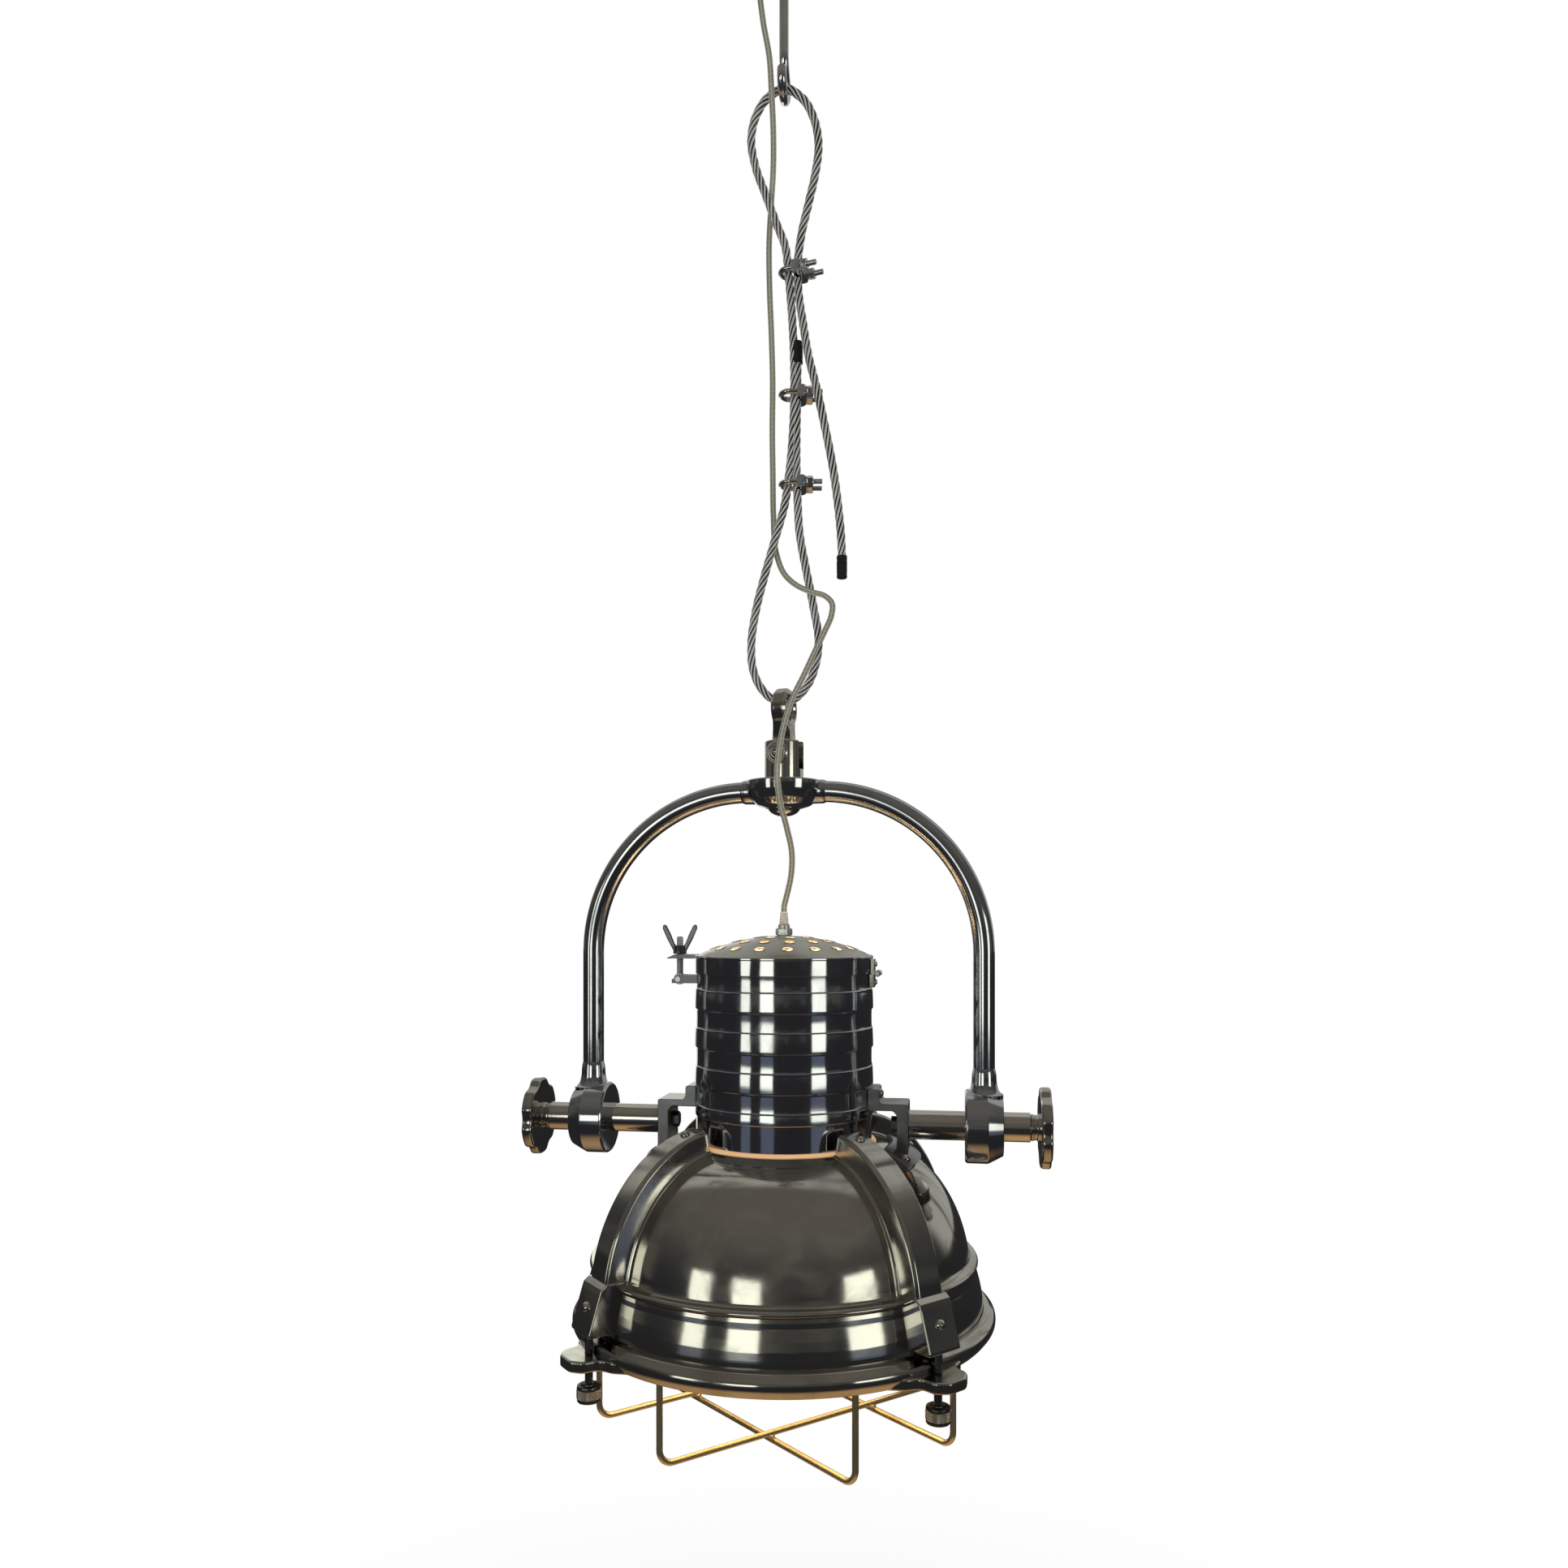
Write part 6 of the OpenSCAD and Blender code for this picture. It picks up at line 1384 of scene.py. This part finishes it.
# %% Light
frosted = moulded("frosted glass bulb, lit", "#fff1d6", "#ffe8c2", 0.35, 1.5, 0.1, 0.0, 5.0,
    "#ffcf8f")
ball = arc((0, -60), 35, 22, -90, 22)[:-1]
bulb_line = [(0, -8), (12.6, -8), (13.5, -9)] + [(13.5 - 0.5 * (k % 2), -11 - 1.7 * k)
    for k in range(12)] + [(13.2, -32), (13.8, -39), (17.4, -51), (23, -60.5)] \
    + [(x, z - 35) for x, z in ball[3:]] + [(0, -130)]
piece("bulb_blown", lathe(bulb_line, 64), frosted, "lamp", "bulb", sharp=60)
glass = bpy.data.materials.new("clear float glass")
glass.use_nodes = True
tree = glass.node_tree
tree.nodes.clear()
here = add(tree, "ShaderNodeTexCoord").outputs["Object"]
dust = add(tree, "ShaderNodeTexNoise", {"Vector": here, "Scale": 120.0, "Detail": 6.0})
film = add(tree, "ShaderNodeMapRange", {"Value": dust.outputs[0], "From Min": 0.5,
    "From Max": 0.8, "To Min": 0.01, "To Max": 0.14})
clear = add(tree, "ShaderNodeBsdfPrincipled", {"Base Color": ink("#f2f7f4"),
    "Roughness": film.outputs[0], "IOR": 1.5, "Transmission Weight": 1.0})
add(tree, "ShaderNodeOutputMaterial", {"Surface": clear.outputs[0]})
pane = rounded([(0, -178, 0), (178, -178, 1), (178, -172, 1), (0, -172, 0)], 3)
piece("glass_lens_ground", lathe(pane, 128), glass, "lamp", "glass_lens", sharp=20)

# %% [markdown]
# ## Latch
# The lid opens on a hinge, and a swing bolt with a wing nut holds it shut. The bolt turns up out of
# a forked lug on the chimney into a fork on the lid.

# %% Latch
bolt_thread = [(3.3 if k % 2 else 2.85, 140 + 0.5 * k) for k in range(69)]
swing_shape = joined(lathe([(0, 137), (3.3, 137), (3.3, 139.6)] + bolt_thread
    + [(2.6, 174.6), (2.2, 175), (0, 175)], 32), moved(lathe(rounded([(2.6, -3.1, 0.2),
    (5.5, -3.1, 0.6), (5.5, 3.1, 0.6), (2.6, 3.1, 0.2)], 3), 48, loop=True),
    put(0, 0, 134.5, tip=(0, 1, 0))))
piece("swing_bolt_threaded", moved(swing_shape, put(-101, 0, 0)), zinc, "latch", "swing_bolt",
    sharp=50)
hub_line = rounded([(3.45, 0, 0.2), (6.5, 0, 0.5), (6.4, 2.4, 0.6), (5.2, 8, 1), (3.45, 8, 0.2)],
    4)
wing_side = rounded([(3.6, 1.5, 0.3), (6.2, 2.4, 3), (12.5, 14, 8), (17, 24, 3), (16.6, 28, 2.2),
    (13.4, 27.6, 2.5), (9, 19, 7), (5.4, 10, 3), (3.6, 7.6, 0.3)], 5)
wing = moved(slab(wing_side, -1.3, 1.3, 1.0, 4), Matrix.Rotation(math.pi / 2, 4, "X"))
wings = joined(lathe(hub_line, 48, loop=True), wing, moved(wing, put(turn=180)))
piece("wing_nut_cast", moved(wings, put(-101, 0, 158.4)), dark_zinc, "latch_nut", "wing_nut",
    sharp=45)
places = [(Vector((86, y, z)), (1, 0, 0), 15 * y) for y in (-6, 6) for z in (132.5, 149.5)]
small_head = lathe(rounded([(0, -1, 0), (3, -1, 0.1), (3, 0.4, 0.3), (2, 1.9, 1.2), (0, 2.4, 0)],
    4), 28)
small_slot = skin([[(-4, -0.4, z), (4, -0.4, z), (4, 0.4, z), (-4, 0.4, z)] for z in (1.5, 4)])
copied("hinge_screws_domed", cut(small_head, small_slot), places, turned, "lamp",
    "hinge_screws")

# %% [markdown]
# ## Cord gland
# The flex enters the lid's top through a small plated gland: a hexagon below, a turned collar,
# and a soft tapered sleeve that keeps the flex from kinking.

# %% Cord gland
stud = lathe(rounded([(3.1, 170, 0.2), (5.1, 170, 0.4), (5.1, 176.5, 0), (3.1, 176.5, 0)], 3), 40,
    loop=True)
collar = lathe(rounded([(3.1, 183, 0), (5.6, 183, 0), (5.6, 186, 0.7), (4.7, 187, 0.4),
    (3.1, 187, 0)], 3), 40, loop=True)
gland = joined(stud, moved(nut(14, 7.2, 3.1), put(0, 0, 175.9)), collar)
piece("cord_gland_turned", gland, zinc, "lamp", "cord_gland", sharp=30)
sleeve = lathe(rounded([(3.0, 186.6, 0), (4.4, 186.6, 0.3), (4.3, 189, 0.4), (3.9, 190, 0.4),
    (4.2, 191, 0.4), (3.8, 192.2, 0.4), (4.0, 193.2, 0.4), (3.6, 194.4, 0.4), (3.5, 198, 0.6),
    (3.0, 198, 0.2)], 3), 40, loop=True)
piece("cord_gland_sleeve", sleeve, nylon, "lamp", "cord_gland", sharp=50)

# %% [markdown]
# ## Parts that stay as CAD
# Small plates, nuts, pins and gaskets have the right shape already, so they keep their solids
# and only get a finish.

# %% Finishes on CAD parts
for finish, names in (
        (zinc, "ceiling_plate hook_nut swivel_nut lampholder_bracket hinge_pin latch_pin"),
        (dark_zinc, "rose_collar_screw trunnion_bolts latch_fork latch_lug"),
        (nylon, "rose_cord_grip terminal_block"),
        (turned, "eye_bolt_nut"),
        (cast, "lid_leaf body_leaf"),
        (rubber, "lens_gaskets"),
        (enamel, "reflector"),
        (porcelain, "lampholder"),
        (lead_skin, "inner_lead")):
    for name in names.split():
        for part_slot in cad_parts[name].material_slots:
            part_slot.material = finish
    print(finish.name, "on", names)
